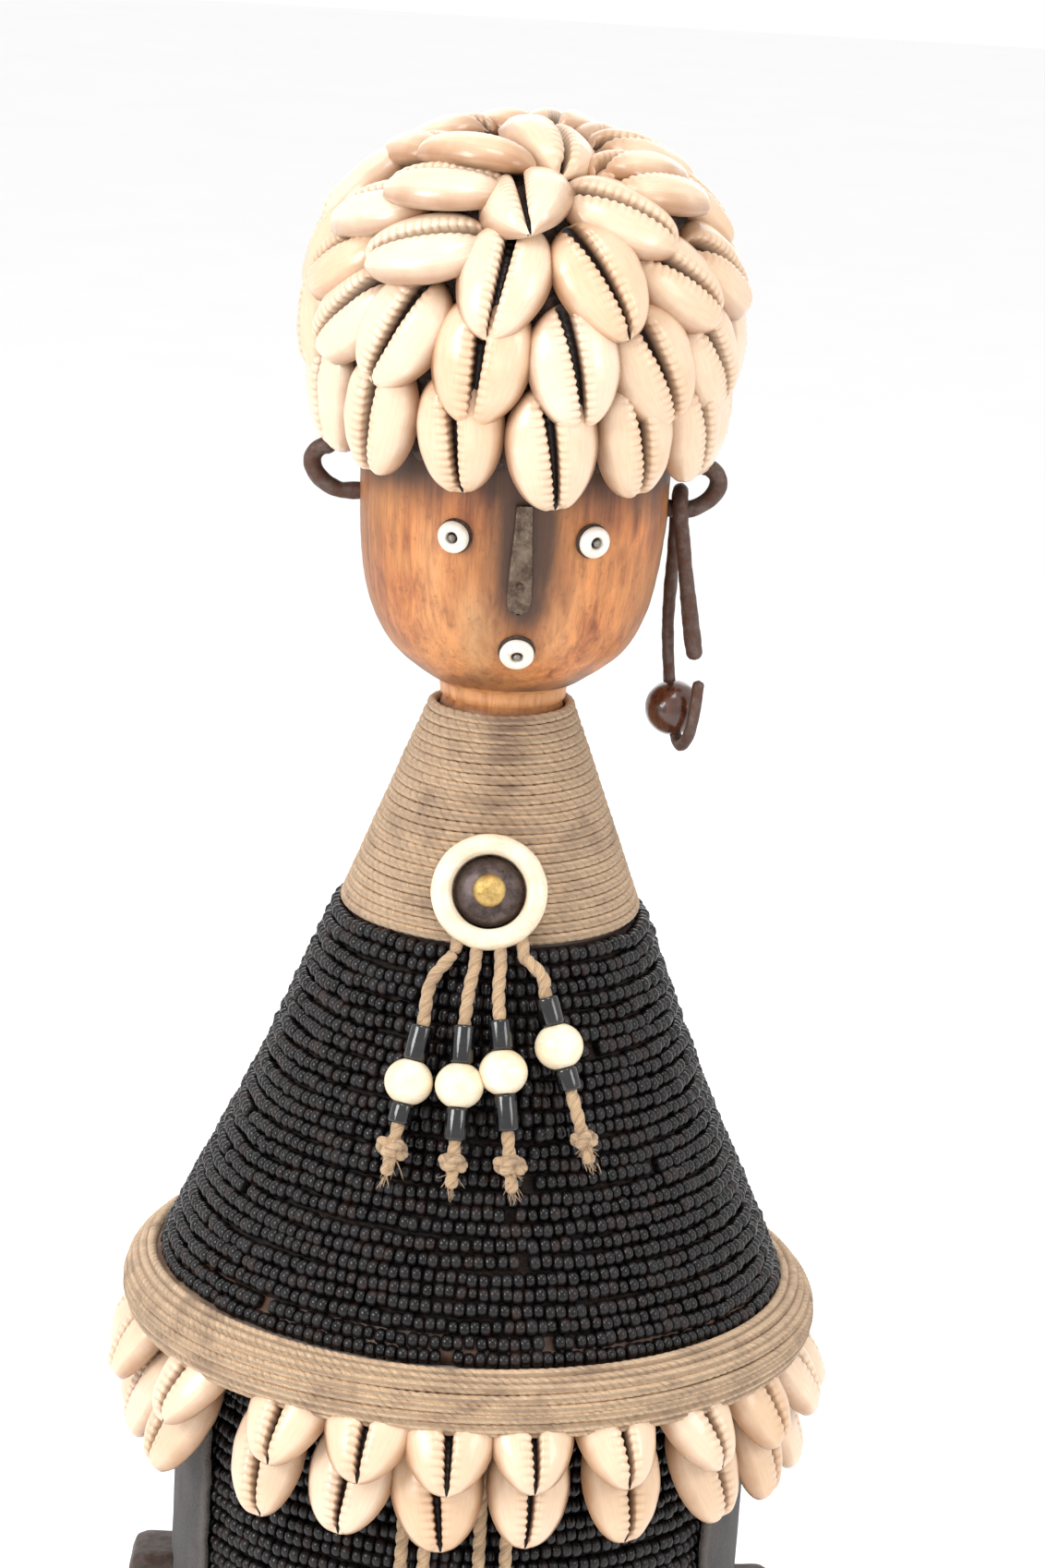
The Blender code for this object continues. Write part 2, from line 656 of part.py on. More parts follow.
def build_front_cord(index, look):
    x = FRONT_CORD_X[index]
    hang_r = DRUM_R + 2 * GAP + SEED_BEAD_D + FRONT_CORD_R + 0.2
    y = -math.sqrt(hang_r * hang_r - x * x)
    top = Vector((x, y, 96.0))
    low = Vector((x * 1.12, y - 0.2, FRONT_CORD_ENDS[index]))
    steps = 12
    points = [top.lerp(low, k / steps) for k in range(steps + 1)]
    return cord("front_cord_%d" % (index + 1), points, FRONT_CORD_R, look, top)


# ---- assembly -------------------------------------------------------------------------------
def build_doll():
    wood = material("carved_wood", (0.42, 0.20, 0.09), 0.55)
    pitch = material("dark_pitch", (0.045, 0.028, 0.02), 0.8)
    arm_wood = material("dark_arm_wood", (0.075, 0.045, 0.03), 0.6)
    cowrie = material("cowrie_shell", (0.86, 0.74, 0.58), 0.3)
    fringe_shell = material("fringe_shell", (0.86, 0.74, 0.60), 0.3)
    twine = material("plant_twine", (0.52, 0.36, 0.20), 0.85)
    seed = material("black_seed_beads", (0.012, 0.011, 0.012), 0.25)
    leather = material("dark_leather", (0.05, 0.042, 0.04), 0.7)
    white_bead = material("white_face_bead", (0.80, 0.76, 0.68), 0.35)
    pin = material("grey_pin", (0.22, 0.21, 0.20), 0.45, 0.9)
    strip = material("worn_nose_metal", (0.30, 0.24, 0.20), 0.5, 0.8)
    iron = material("rusty_iron_wire", (0.10, 0.06, 0.05), 0.5, 0.7)
    dark_bead = material("dark_wooden_bead", (0.09, 0.035, 0.018), 0.25)
    ivory = material("ivory_ring", (0.88, 0.80, 0.66), 0.3)
    gunmetal = material("gunmetal_dome", (0.10, 0.09, 0.10), 0.25, 0.9)
    brass = material("brass_stud", (0.70, 0.55, 0.26), 0.3, 1.0)
    tube_bead = material("black_tube_bead", (0.02, 0.02, 0.022), 0.12)
    pendant_bead = material("cream_bead", (0.88, 0.80, 0.66), 0.25)

    build_core(wood)
    build_arm("arm_left", 1, arm_wood)
    build_arm("arm_right", -1, arm_wood)
    build_cap(pitch)
    for row, (count, span) in enumerate(zip(HAT_ROW_COUNTS, HAT_ROW_SPANS)):
        build_hat_row("hat_cowrie_row_%d" % (row + 1), count, span, cowrie)
    build_crown_shell(cowrie)
    build_twine(twine)
    build_upper_wrap(seed)
    build_lower_wrap(seed)
    build_band(twine)
    build_side_panel("side_leather_left", 1, leather)
    build_side_panel("side_leather_right", -1, leather)
    upper = ((49.4, 106.6), (50.4, 103.4), (50.6, 101.0), (54.2, 98.2), (56.4, 94.4), (56.4, 91.2),
             (54.6, 89.4))
    upper_seat = ((50.4, 90.2), (48.0, 96.2), (45.6, 102.8), (45.6, 106.4))
    lower = ((47.3, 96.4), (49.9, 90.0), (52.3, 88.6), (53.3, 85.6), (52.9, 82.2), (51.2, 80.6))
    lower_seat = ((47.8, 81.4), (46.6, 88.0), (46.0, 96.4))
    build_fringe("fringe_cowries_upper", FRINGE_UPPER_COUNT, upper, upper_seat, fringe_shell)
    build_fringe("fringe_cowries_lower", FRINGE_LOWER_COUNT, lower, lower_seat, fringe_shell)

    features = (("eye_left", FACE_YAW + EYE_YAW, EYE_Z, 2.35), ("mouth", FACE_YAW, MOUTH_Z, 2.5),
                ("eye_right", FACE_YAW - EYE_YAW, EYE_Z, 2.35))
    for name, yaw, height, radius in features:
        build_face_bead(name + "_bead", yaw, height, radius, 0.85, 1.6, white_bead)
        build_face_pin(name + "_pin", yaw, height, pin)
    build_nose(strip)
    build_nose_nail(pin)

    build_hoop("ear_hoop_left", 1, iron)
    build_hoop("ear_hoop_right", -1, iron)
    build_earring_wire(iron)
    build_earring_bead(dark_bead)
    build_medallion({"medallion_ring": ivory, "medallion_dome": gunmetal, "medallion_stud": brass})
    looks = {"cord": twine, "tube": tube_bead, "bead": pendant_bead}
    for index in range(len(PENDANT_ROUTES)):
        build_pendant(index, looks)
    for index in range(len(FRONT_CORD_X)):
        build_front_cord(index, twine)


for old in list(bpy.data.objects):
    bpy.data.objects.remove(old)
build_doll()
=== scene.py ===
"""Looks of the cowrie-capped fertility doll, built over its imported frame.

Everything is worked out in millimetres in the frame's own axes: +Z up, the face towards -Y.
"""
import math

import bpy
import numpy as np
from mathutils import Matrix


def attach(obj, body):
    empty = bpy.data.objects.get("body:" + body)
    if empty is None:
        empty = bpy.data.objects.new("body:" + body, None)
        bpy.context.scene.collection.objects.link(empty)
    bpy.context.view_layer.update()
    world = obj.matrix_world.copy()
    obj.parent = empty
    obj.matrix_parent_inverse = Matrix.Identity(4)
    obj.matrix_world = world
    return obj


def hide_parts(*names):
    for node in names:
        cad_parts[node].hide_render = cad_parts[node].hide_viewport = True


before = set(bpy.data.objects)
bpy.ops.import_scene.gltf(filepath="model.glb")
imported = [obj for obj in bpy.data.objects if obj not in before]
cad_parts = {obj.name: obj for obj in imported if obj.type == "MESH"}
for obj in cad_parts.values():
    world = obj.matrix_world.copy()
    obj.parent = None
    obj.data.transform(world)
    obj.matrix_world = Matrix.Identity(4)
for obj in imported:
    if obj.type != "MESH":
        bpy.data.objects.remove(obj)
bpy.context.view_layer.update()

MM = 0.001
TAU = 2 * math.pi
rng = np.random.default_rng(20)

# ---- dimensions shared with the solid model (mm) ---------------------------------------------
GAP = 0.3
LEG_X = 16.5
ARM_TOP_Z = 57.6
ARM_HALF_WIDTH = 6.5
ARM_REACH = 50.7
DRUM_R = 40.2
DRUM_TOP_Z = 96.6
WAIST_Z, WAIST_R = 164.5, 21.5
NECK_Z, NECK_R = 198.3, 9.5
TWINE_D = 1.5
SEED_D = 2.3
FACE_YAW = math.radians(4.8)
EYE_YAW = math.radians(25.4)
EYE_Z, MOUTH_Z = 226.6, 209.7
NOSE_LOW_Z, NOSE_TOP_Z = 215.5, 232.0
HOOP_Z, HOOP_WIRE_R = 227.8, 1.3
BEAD_CENTRE = np.array((25.6, -0.3, 197.0))
BEAD_AXIS = np.array((-0.17, 0.30, 0.94)) / np.linalg.norm((-0.17, 0.30, 0.94))
EARRING_X, EARRING_BEAD_R, EARRING_HANG = 24.6, 4.2, math.radians(3.1)
MEDALLION_CENTRE = (-0.3, -20.6, 173.0)
MEDALLION_TILT = math.radians(21.3)
PENDANT_CORD_R, PENDANT_TUBE_R, PENDANT_BEAD_R = 1.0, 1.75, 3.35
PENDANT_LIFT, PENDANT_TAIL = 3.7, 1.8
PENDANT_ROUTES = (
    ((-4.8, 164.8), (-8.1, 160.7), (-8.9, 155.0), (-12.3, 137.9)),
    ((-1.8, 163.3), (-2.4, 160.3), (-2.8, 155.7), (-3.3, 137.0)),
    ((2.0, 163.3), (1.9, 160.2), (2.3, 156.7), (5.0, 137.0)),
    ((5.4, 164.6), (8.2, 162.3), (8.9, 159.8), (15.6, 140.1)),
)
PENDANT_UPPER_TUBES = (5.2, 5.6, 4.4, 4.2)
PENDANT_LOWER_TUBES = (3.0, 4.8, 5.4, 3.4)
PENDANT_KNOT_R = (2.4, 2.1, 2.4, 2.0)
KNOT_SPREAD = 1.22
FRONT_CORD_R = 1.0
FRONT_CORD_X = (-7.4, -4.2, 3.6, 7.4)
FRONT_CORD_ENDS = (46.0, 42.0, 44.0, 40.0)
FRONT_CORD_TOP = 96.0

HEAD_PROFILE = np.array((
    (9.6, 200.3), (11.8, 201.5), (15.5, 204.2), (18.5, 207.5), (20.7, 212.0),
    (22.1, 218.3), (22.6, 223.3), (23.0, 230.7), (23.1, 242.7), (23.9, 250.8), (23.5, 259.0),
    (20.7, 266.0), (15.0, 272.4), (7.6, 275.8), (0.02, 276.8)))
CAP_PROFILE = np.array((
    (24.4, 232.5), (25.8, 236.5), (27.9, 244.7), (28.9, 252.9), (29.0, 257.0), (28.2, 262.1),
    (26.0, 268.3), (22.4, 273.4), (17.4, 277.2), (11.2, 279.5), (4.1, 280.3), (0.02, 280.4)))
CHEST_PROFILE = np.array(((24.1, 164.2), (34.7, 137.5), (44.7, 116.5), (47.8, 111.2)))


# ---- numpy mesh helpers -----------------------------------------------------------------------
def unit(v):
    v = np.asarray(v, float)
    return v / np.linalg.norm(v, axis=-1, keepdims=True)


def dots(a, b):
    return (a * b).sum(-1, keepdims=True)


def grid_quads(rows, cols, wrap_cols=True):
    """Quads over a rows x cols sheet of points, each row closed to a ring where asked."""
    i = np.arange(rows - 1)[:, None]
    j = np.arange(cols if wrap_cols else cols - 1)[None, :]
    i2, j2 = i + 1, (j + 1) % cols
    return np.stack(np.broadcast_arrays(i * cols + j, i * cols + j2, i2 * cols + j2, i2 * cols + j),
                    -1).reshape(-1, 4)


def smooth_curve(points, per_span):
    """Catmull-Rom curve through the points, any number of coordinates wide."""
    p = np.asarray(points, float)
    p = np.vstack((2 * p[0] - p[1], p, 2 * p[-1] - p[-2]))
    t = (np.arange(per_span) / per_span)[:, None]
    out = []
    for p0, p1, p2, p3 in zip(p, p[1:], p[2:], p[3:]):
        out.append(0.5 * (2 * p1 + (p2 - p0) * t + (2 * p0 - 5 * p1 + 4 * p2 - p3) * t ** 2
                          + (3 * p1 - p0 - 3 * p2 + p3) * t ** 3))
    return np.vstack(out + [p[-2:-1]])


def resample(path, step):
    """The same polyline with a point about every step."""
    path = np.asarray(path, float)
    gone = np.concatenate(([0.0], np.cumsum(np.linalg.norm(np.diff(path, axis=0), axis=1))))
    count = max(3, int(gone[-1] / step) + 1)
    at = np.linspace(0.0, gone[-1], count)
    return np.stack([np.interp(at, gone, path[:, k]) for k in range(path.shape[1])], -1)


def path_length(path):
    return float(np.linalg.norm(np.diff(path, axis=0), axis=1).sum())


def lathe(profile, segments):
    """Turn an open (radius, height) outline about Z."""
    profile = np.asarray(profile, float)
    angle = np.arange(segments) / segments * TAU
    r, z = profile[:, :1], profile[:, 1:]
    verts = np.stack((r * np.cos(angle), r * np.sin(angle), z + 0 * angle), -1)
    return verts.reshape(-1, 3), grid_quads(len(profile), segments)


def ply_section(angle, plies, depth):
    """Outline of a laid cord: round strands standing out of the middle by depth."""
    lobe = np.abs(np.cos(0.5 * plies * angle))
    return 1.0 - depth + depth * np.sqrt(lobe)


def sweep(path, radius, sides, reference, plies=0, depth=0.0, lay=4.0, blunt=True):
    """Sweep a round or laid section along a path. Gives points, quads and cord coordinates."""
    path = np.asarray(path, float)
    tangent = unit(np.gradient(path, axis=0))
    reference = np.broadcast_to(np.asarray(reference, float), path.shape)
    a = unit(reference - tangent * dots(reference, tangent))
    b = np.cross(tangent, a)
    step = np.linalg.norm(np.diff(path, axis=0), axis=1)
    gone = np.concatenate(([0.0], np.cumsum(step)))
    phi = np.arange(sides) / sides * TAU
    turn = phi[None, :] - gone[:, None] / lay * TAU
    r = np.broadcast_to(np.asarray(radius, float), gone.shape)[:, None].copy()
    if blunt:
        ends = np.minimum(gone, gone[-1] - gone)[:, None] / np.maximum(r, 1e-6)
        r = r * np.sqrt(np.clip(ends * (2 - ends), 0.0, 1.0) * (ends < 1) + (ends >= 1) + 1e-6)
    crest = ply_section(turn, plies, depth) if plies else np.ones_like(turn)
    r = r * crest
    verts = (path[:, None] + a[:, None] * (r * np.cos(phi))[..., None]
             + b[:, None] * (r * np.sin(phi))[..., None])
    strand = np.stack(np.broadcast_arrays(
        gone[:, None] + 0 * turn, turn, (1 - crest) / max(depth, 1e-6)), -1)
    return verts.reshape(-1, 3), grid_quads(len(path), sides), strand.reshape(-1, 3)


def merge(parts):
    """Join (points, quads, attributes...) tuples into one."""
    verts, quads, extra, base = [], [], [], 0
    for part in parts:
        verts.append(part[0])
        quads.append(part[1] + base)
        extra.append(part[2:])
        base += len(part[0])
    joined = [np.concatenate(column) for column in zip(*extra)]
    return [np.concatenate(verts), np.concatenate(quads), *joined]


def replicate(verts, quads, turns, moves):
    """Copies of one template, each turned (K,3,3) and moved (K,3)."""
    many = np.einsum("kij,vj->kvi", turns, verts) + moves[:, None]
    shift = np.arange(len(moves))[:, None, None] * len(verts)
    return many.reshape(-1, 3), (quads[None] + shift).reshape(-1, 4)


def waves(points, scale, seed):
    """Smooth made-up unevenness of about -1 to 1 over points, scale in mm."""
    local = np.random.default_rng(seed)
    total = np.zeros(len(points))
    for k in range(7):
        way = unit(local.normal(size=3)) * TAU / (scale * (0.6 + 0.25 * k))
        total += np.sin(points @ way + local.uniform(0, TAU)) * (0.42 - 0.03 * k)
    return total


def turned_to(direction):
    """3x3 whose third column points along direction."""
    z = unit(direction)
    x = unit(np.cross((0.0, 1.0, 0.0), z) if abs(z[1]) < 0.9 else np.cross((1.0, 0.0, 0.0), z))
    return np.stack((x, np.cross(z, x), z), -1)


def placed(verts, outward, centre):
    """Points whose own Z is turned to face outward, moved to a centre."""
    return verts @ turned_to(outward).T + centre


def world_pose(basis, place):
    """Blender matrix of a 3x3 turn and a place in mm."""
    pose = np.eye(4)
    pose[:3, :3] = basis
    pose[:3, 3] = np.asarray(place) * MM
    return Matrix(pose.tolist())


def piece(name, verts, quads, look, body="doll", nodes=(), slot=None, **attributes):
    """Make one object from millimetre points that rides on a body and stands for CAD nodes."""
    mesh = bpy.data.meshes.new(name)
    mesh.vertices.add(len(verts))
    mesh.vertices.foreach_set("co", (np.asarray(verts) * MM).astype(np.float32).ravel())
    mesh.loops.add(quads.size)
    mesh.loops.foreach_set("vertex_index", quads.astype(np.int32).ravel())
    mesh.polygons.add(len(quads))
    mesh.polygons.foreach_set("loop_start", np.arange(0, quads.size, quads.shape[1], dtype=np.int32))
    mesh.polygons.foreach_set("use_smooth", np.ones(len(quads), bool))
    mesh.update(calc_edges=True)
    for label, values in attributes.items():
        values = np.asarray(values, np.float32)
        kind = "FLOAT" if values.ndim == 1 else "FLOAT_VECTOR"
        layer = mesh.attributes.new(label, kind, "POINT")
        layer.data.foreach_set("value" if values.ndim == 1 else "vector", values.ravel())
    mesh.materials.append(look)
    mesh.validate()
    obj = bpy.data.objects.new(name, mesh)
    bpy.context.scene.collection.objects.link(obj)
    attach(obj, body)
    if nodes:
        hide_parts(*nodes)
    return obj


# ---- materials --------------------------------------------------------------------------------
def rgb(red, green, blue):
    """Linear colour from 0-255 display values."""
    out = []
    for c in (red / 255, green / 255, blue / 255):
        out.append(c / 12.92 if c <= 0.04045 else ((c + 0.055) / 1.055) ** 2.4)
    return (*out, 1.0)


class Look:
    """One Principled material and the nodes that feed it.

    Positions are in millimetres. Colours are 0-255 display values, laid one over another.
    """

    def __init__(self, name, **constants):
        self.mat = bpy.data.materials.new(name)
        self.mat.use_nodes = True
        self.tree = self.mat.node_tree
        self.shader = self.tree.nodes["Principled BSDF"]
        for label, value in constants.items():
            self.shader.inputs[label.replace("_", " ")].default_value = value
        coordinates = self.node("ShaderNodeTexCoord", {}).outputs["Object"]
        self.place = self.scaled(coordinates, (1 / MM, 1 / MM, 1 / MM))

    def feed(self, socket, value):
        if isinstance(value, bpy.types.NodeSocket):
            self.tree.links.new(value, socket)
        else:
            socket.default_value = value

    def node(self, kind, inputs, **settings):
        new = self.tree.nodes.new(kind)
        for label, value in settings.items():
            setattr(new, label, value)
        for key, value in inputs.items():
            self.feed(new.inputs[key], value)
        return new

    def scaled(self, vector, by):
        return self.node("ShaderNodeVectorMath", {0: vector, 1: by}, operation="MULTIPLY").outputs[0]

    def attribute(self, name, output="Fac"):
        return self.node("ShaderNodeAttribute", {}, attribute_name=name).outputs[output]

    def parts(self, vector):
        return self.node("ShaderNodeSeparateXYZ", {0: vector}).outputs

    def noise(self, scale, detail=3.0, roughness=0.55, stretch=None, of=None, distortion=0.0):
        """Noise over the place, or over another vector, after stretching it."""
        vector = of or self.place
        if stretch:
            vector = self.scaled(vector, stretch)
        return self.node("ShaderNodeTexNoise", {
            "Vector": vector, "Scale": scale, "Detail": detail, "Roughness": roughness,
            "Distortion": distortion}).outputs["Fac"]

    def cells(self, scale, feature="F1"):
        return self.node("ShaderNodeTexVoronoi", {"Vector": self.place, "Scale": scale},
                         feature=feature).outputs["Distance"]

    def math(self, operation, a, b=0.0, clamp=False):
        return self.node("ShaderNodeMath", {0: a, 1: b}, operation=operation,
                         use_clamp=clamp).outputs[0]

    def times(self, a, b, clamp=False):
        return self.math("MULTIPLY", a, b, clamp)

    def sum(self, a, b, share=1.0, clamp=False):
        """a and a share of b."""
        return self.math("ADD", a, b if share == 1.0 else self.times(b, share), clamp)

    def span(self, value, low, high, out_low=0.0, out_high=1.0):
        """Clamped straight-line remap."""
        return self.node("ShaderNodeMapRange", {0: value, 1: low, 2: high, 3: out_low,
                                                4: out_high}).outputs[0]

    def ground(self, amount, low, high):
        """Start the colour, from low to high."""
        self.colour = self.node("ShaderNodeMix", {0: amount, 6: rgb(*low), 7: rgb(*high)},
                                data_type="RGBA").outputs[2]

    def paint(self, amount, *over):
        """Lay a colour over what is there."""
        self.colour = self.node("ShaderNodeMix", {0: amount, 6: self.colour, 7: rgb(*over)},
                                data_type="RGBA").outputs[2]

    def done(self, roughness, height=None, distance=0.0, strength=1.0, metallic=0.0):
        """Feed the shader and hand the material over. height is bumped by a distance in mm."""
        self.feed(self.shader.inputs["Base Color"], self.colour)
        self.feed(self.shader.inputs["Roughness"], roughness)
        self.feed(self.shader.inputs["Metallic"], metallic)
        if height is not None:
            bump = self.node("ShaderNodeBump", {"Height": height, "Distance": distance * MM,
                                                "Strength": strength})
            self.feed(self.shader.inputs["Normal"], bump.outputs[0])
        return self.mat


def shell_look(name, light, warm, stain_and_shade):
    """Polished cowrie: cream face, tan rim and ends deepened with painted shade, a brown mouth painted
    darker with depth as painted shade, tooth grooves darkened with painted shade, fine growth lines.
    """
    look = Look(name, Coat_Weight=0.35, Coat_Roughness=0.12, IOR=1.5)
    shell = look.attribute("shell", "Vector")
    across, along, depth = look.parts(shell)[:3]
    patch = look.noise(0.16)
    tone = look.sum(look.times(look.attribute("own"), 0.55), patch, 0.6)
    look.ground(look.span(tone, 0.25, 0.95), light, warm)
    # rim and ends: the shell's tan colour, deepened as painted shade where the shells meet the pitch and
    # their neighbours
    rim = look.span(look.sum(look.math("ABSOLUTE", across), patch, 0.16), 0.88, 1.08)
    look.paint(look.times(rim, 0.75), *stain_and_shade)
    ends = look.span(look.sum(along, patch, 0.2), 0.86, 1.12)
    look.paint(look.times(ends, 0.7), 150, 98, 56)
    lines = look.noise(1.0, 2.0, stretch=(26.0, 5.0, 0.0), of=shell)
    look.paint(look.span(lines, 0.35, 0.75, 0.0, 0.16), *stain_and_shade)
    # groove and depth: painted shade, darker between the teeth, brown to near black deeper in the mouth and
    # on the cut back
    look.paint(look.times(look.attribute("groove"), 0.6, clamp=True), 164, 116, 74)
    look.paint(look.span(depth, 0.05, 0.75), 84, 48, 28)
    look.paint(look.span(depth, 0.55, 1.0), 26, 13, 8)
    specks = look.span(look.noise(1.3, 4.0, 0.7), 0.68, 0.8)
    look.paint(look.times(specks, 0.3), 150, 106, 66)
    rough = look.sum(look.span(patch, 0.3, 0.7, 0.24, 0.38), depth, 0.4)
    return look.done(rough, look.noise(0.9), 0.05, 0.5)


def twine_look(name, light, dark, grime_and_shade, grime_level=0.55):
    """Laid plant fibre: strands, stray fibres, a little dirt, and painted shade in the valleys between
    strands and where the shade attribute asks.
    """
    look = Look(name, Sheen_Weight=0.25, Sheen_Roughness=0.6)
    strand = look.attribute("strand", "Vector")
    fibres = look.noise(1.0, 3.0, 0.65, (0.55, 3.2, 1.0), strand)
    fine = look.noise(1.0, 2.0, 0.6, (1.6, 9.0, 1.0), strand)
    look.ground(look.span(fibres, 0.34, 0.64), dark, light)
    look.paint(look.span(fine, 0.5, 0.8, 0.0, 0.35), 244, 216, 176)
    look.paint(look.span(look.noise(0.12), grime_level, grime_level + 0.2, 0.0, 0.55), *grime_and_shade)
    # valley: painted shade between the strands of the lay
    valley = look.span(look.parts(strand)[2], 0.25, 1.0, 0.0, 0.6)
    look.paint(valley, *grime_and_shade)
    streak = look.span(look.noise(1.0, stretch=(0.1, 0.1, 1.1)), 0.35, 0.65, 0.25, 1.3)
    look.paint(look.times(look.attribute("shade"), streak, clamp=True), *grime_and_shade)
    height = look.sum(look.times(fibres, 0.6), fine, 0.5)
    return look.done(look.span(fine, 0.3, 0.8, 0.7, 0.95), height, 0.5)


def wood_look():
    """Orange-brown carved wood, waxed by handling, scorched in places and darkened by painted shade in
    others, with pale grain streaks.
    """
    look = Look("carved_wood", Coat_Weight=0.12, Coat_Roughness=0.3)
    upright = (1.0, 1.0, 0.09)
    grain = look.noise(0.55, 5.0, 0.6, upright, distortion=0.5)
    fine = look.noise(2.6, 4.0, 0.6, upright)
    blotch = look.noise(0.085, 4.0, 0.6)
    look.ground(look.span(grain, 0.34, 0.68), (132, 68, 30), (212, 132, 70))
    look.paint(look.span(blotch, 0.4, 0.68, 0.0, 0.6), 230, 160, 96)
    look.paint(look.span(fine, 0.52, 0.72, 0.0, 0.4), 92, 46, 22)
    pale = look.times(look.attribute("pale"), look.span(grain, 0.35, 0.6, 0.35, 1.0))
    look.paint(look.times(pale, 0.8), 222, 172, 120)
    # scorching and painted shade, both laid on as near-black brown
    scorch = look.sum(look.attribute("scorch"), look.math("SUBTRACT", blotch, 0.5), 0.7, clamp=True)
    look.paint(look.times(scorch, 0.92), 44, 25, 16)
    look.paint(look.span(look.noise(0.45, 5.0, 0.7), 0.56, 0.74, 0.0, 0.5), 84, 46, 24)
    height = look.sum(look.times(grain, 0.7), fine, 0.4)
    return look.done(look.span(blotch, 0.3, 0.7, 0.42, 0.6), height, 0.16, 0.8)


def dark_wood_look():
    look = Look("dark_arm_wood", Coat_Weight=0.1, Coat_Roughness=0.4)
    grain = look.noise(0.7, 5.0, 0.6, (1.0, 1.0, 0.12))
    blotch = look.noise(0.2, 4.0)
    look.ground(look.span(grain, 0.35, 0.7), (44, 31, 25), (84, 62, 50))
    look.paint(look.span(blotch, 0.5, 0.7, 0.0, 0.5), 30, 22, 19)
    return look.done(look.span(blotch, 0.3, 0.7, 0.5, 0.75), grain, 0.25, 0.8)


def pitch_look():
    """Rough dark resin with fibres between the shells, and pale gritty specks painted as glints."""
    look = Look("dark_pitch", IOR=1.5)
    lumps = look.noise(0.9, 5.0, 0.7)
    glint_specks = look.cells(3.2)
    fibres = look.noise(1.6, 4.0, 0.7, distortion=2.5)
    look.ground(look.span(lumps, 0.35, 0.7), (38, 26, 22), (104, 82, 70))
    look.paint(look.span(fibres, 0.55, 0.72, 0.0, 0.6), 150, 128, 112)
    # pale specks at the cells' centres: painted glints, a little glossier than the rest
    look.paint(look.span(glint_specks, 0.0, 0.12, 0.7, 0.0), 190, 180, 168)
    return look.done(look.span(glint_specks, 0.0, 0.3, 0.35, 0.85), look.sum(lumps, fibres, 0.6), 0.8)


def seed_look():
    """Black glass seed beads, dulled by handling."""
    look = Look("black_seed_beads", IOR=1.5, Specular_IOR_Level=0.34)
    own = look.attribute("own")
    dust = look.noise(0.35, 4.0, 0.65)
    look.ground(own, (8, 7, 8), (26, 23, 24))
    look.paint(look.span(dust, 0.5, 0.8, 0.0, 0.5), 66, 42, 30)
    rough = look.sum(look.span(own, 0.0, 1.0, 0.16, 0.3), look.span(dust, 0.5, 0.8, 0.0, 0.2))
    return look.done(rough, look.noise(2.0), 0.05, 0.6)


# Dark thread, darkened further as painted shade for the gaps behind the seed beads.
def thread_and_shade_look():
    look = Look("dark_thread_and_shade")
    fibres = look.noise(1.4, 4.0, 0.7, (1.0, 1.0, 2.0))
    look.ground(look.span(fibres, 0.45, 0.75), (14, 11, 10), (70, 44, 28))
    return look.done(look.span(fibres, 0.3, 0.7, 0.8, 0.95), fibres, 0.3)


def leather_look():
    look = Look("dark_leather", Sheen_Weight=0.1)
    creases = look.cells(1.5, "DISTANCE_TO_EDGE")
    patch = look.noise(0.18, 4.0, 0.6)
    look.ground(look.span(patch, 0.35, 0.7), (44, 40, 40), (76, 70, 68))
    # painted shade in the creases
    look.paint(look.span(creases, 0.0, 0.12, 0.45, 0.0), 26, 22, 22)
    look.paint(look.times(look.attribute("worn"), 0.5), 112, 104, 98)
    height = look.sum(creases, look.noise(3.5), 0.5)
    return look.done(look.span(patch, 0.3, 0.7, 0.7, 0.88), height, 0.3, 0.7)


def bone_look(name, light, warm):
    """Cream bone or shell beads with faint rings and hairline stains."""
    look = Look(name, Coat_Weight=0.3, Coat_Roughness=0.15)
    patch = look.noise(0.22, 4.0, 0.6)
    rings = look.noise(1.0, 3.0, 0.6, (0.35, 0.35, 2.6))
    cracks = look.cells(0.45, "DISTANCE_TO_EDGE")
    look.ground(look.span(patch, 0.35, 0.7), light, warm)
    look.paint(look.span(rings, 0.5, 0.75, 0.0, 0.3), 214, 180, 136)
    look.paint(look.span(cracks, 0.0, 0.02, 0.3, 0.0), 150, 110, 70)
    return look.done(look.span(patch, 0.3, 0.7, 0.26, 0.42), rings, 0.06, 0.6)


def metal_look(name, clean, worn, rust, rust_low, metallic=0.85, rough=(0.32, 0.6)):
    """Old metal, mostly bare, browned where it isn't rubbed."""
    look = Look(name)
    patch = look.noise(0.5, 5.0, 0.65)
    fine = look.noise(3.2, 4.0, 0.7)
    look.ground(look.span(patch, 0.35, 0.65), clean, worn)
    rusty = look.span(look.sum(look.times(patch, 0.6), fine, 0.4), rust_low, rust_low + 0.16)
    look.paint(rusty, *rust)
    bare = look.span(rusty, 0.0, 1.0, metallic, metallic * 0.25)
    return look.done(look.span(rusty, 0.0, 1.0, *rough), look.sum(patch, fine), 0.12, 0.8, bare)


def glass_tube_look():
    look = Look("black_tube_bead", IOR=1.52, Coat_Weight=0.4, Coat_Roughness=0.06)
    dust = look.noise(0.8, 4.0, 0.65)
    look.ground(look.span(dust, 0.45, 0.8, 0.0, 0.6), (6, 6, 8), (38, 33, 33))
    return look.done(look.span(dust, 0.4, 0.8, 0.08, 0.3), dust, 0.05, 0.5)


def polished_bead_look():
    look = Look("dark_wooden_bead", Coat_Weight=0.7, Coat_Roughness=0.08)
    grain = look.noise(0.8, 5.0, 0.6, (1.0, 1.0, 0.3), distortion=1.0)
    look.ground(look.span(grain, 0.35, 0.7), (48, 22, 14), (98, 50, 28))
    return look.done(look.span(grain, 0.3, 0.7, 0.2, 0.34), grain, 0.08, 0.6)
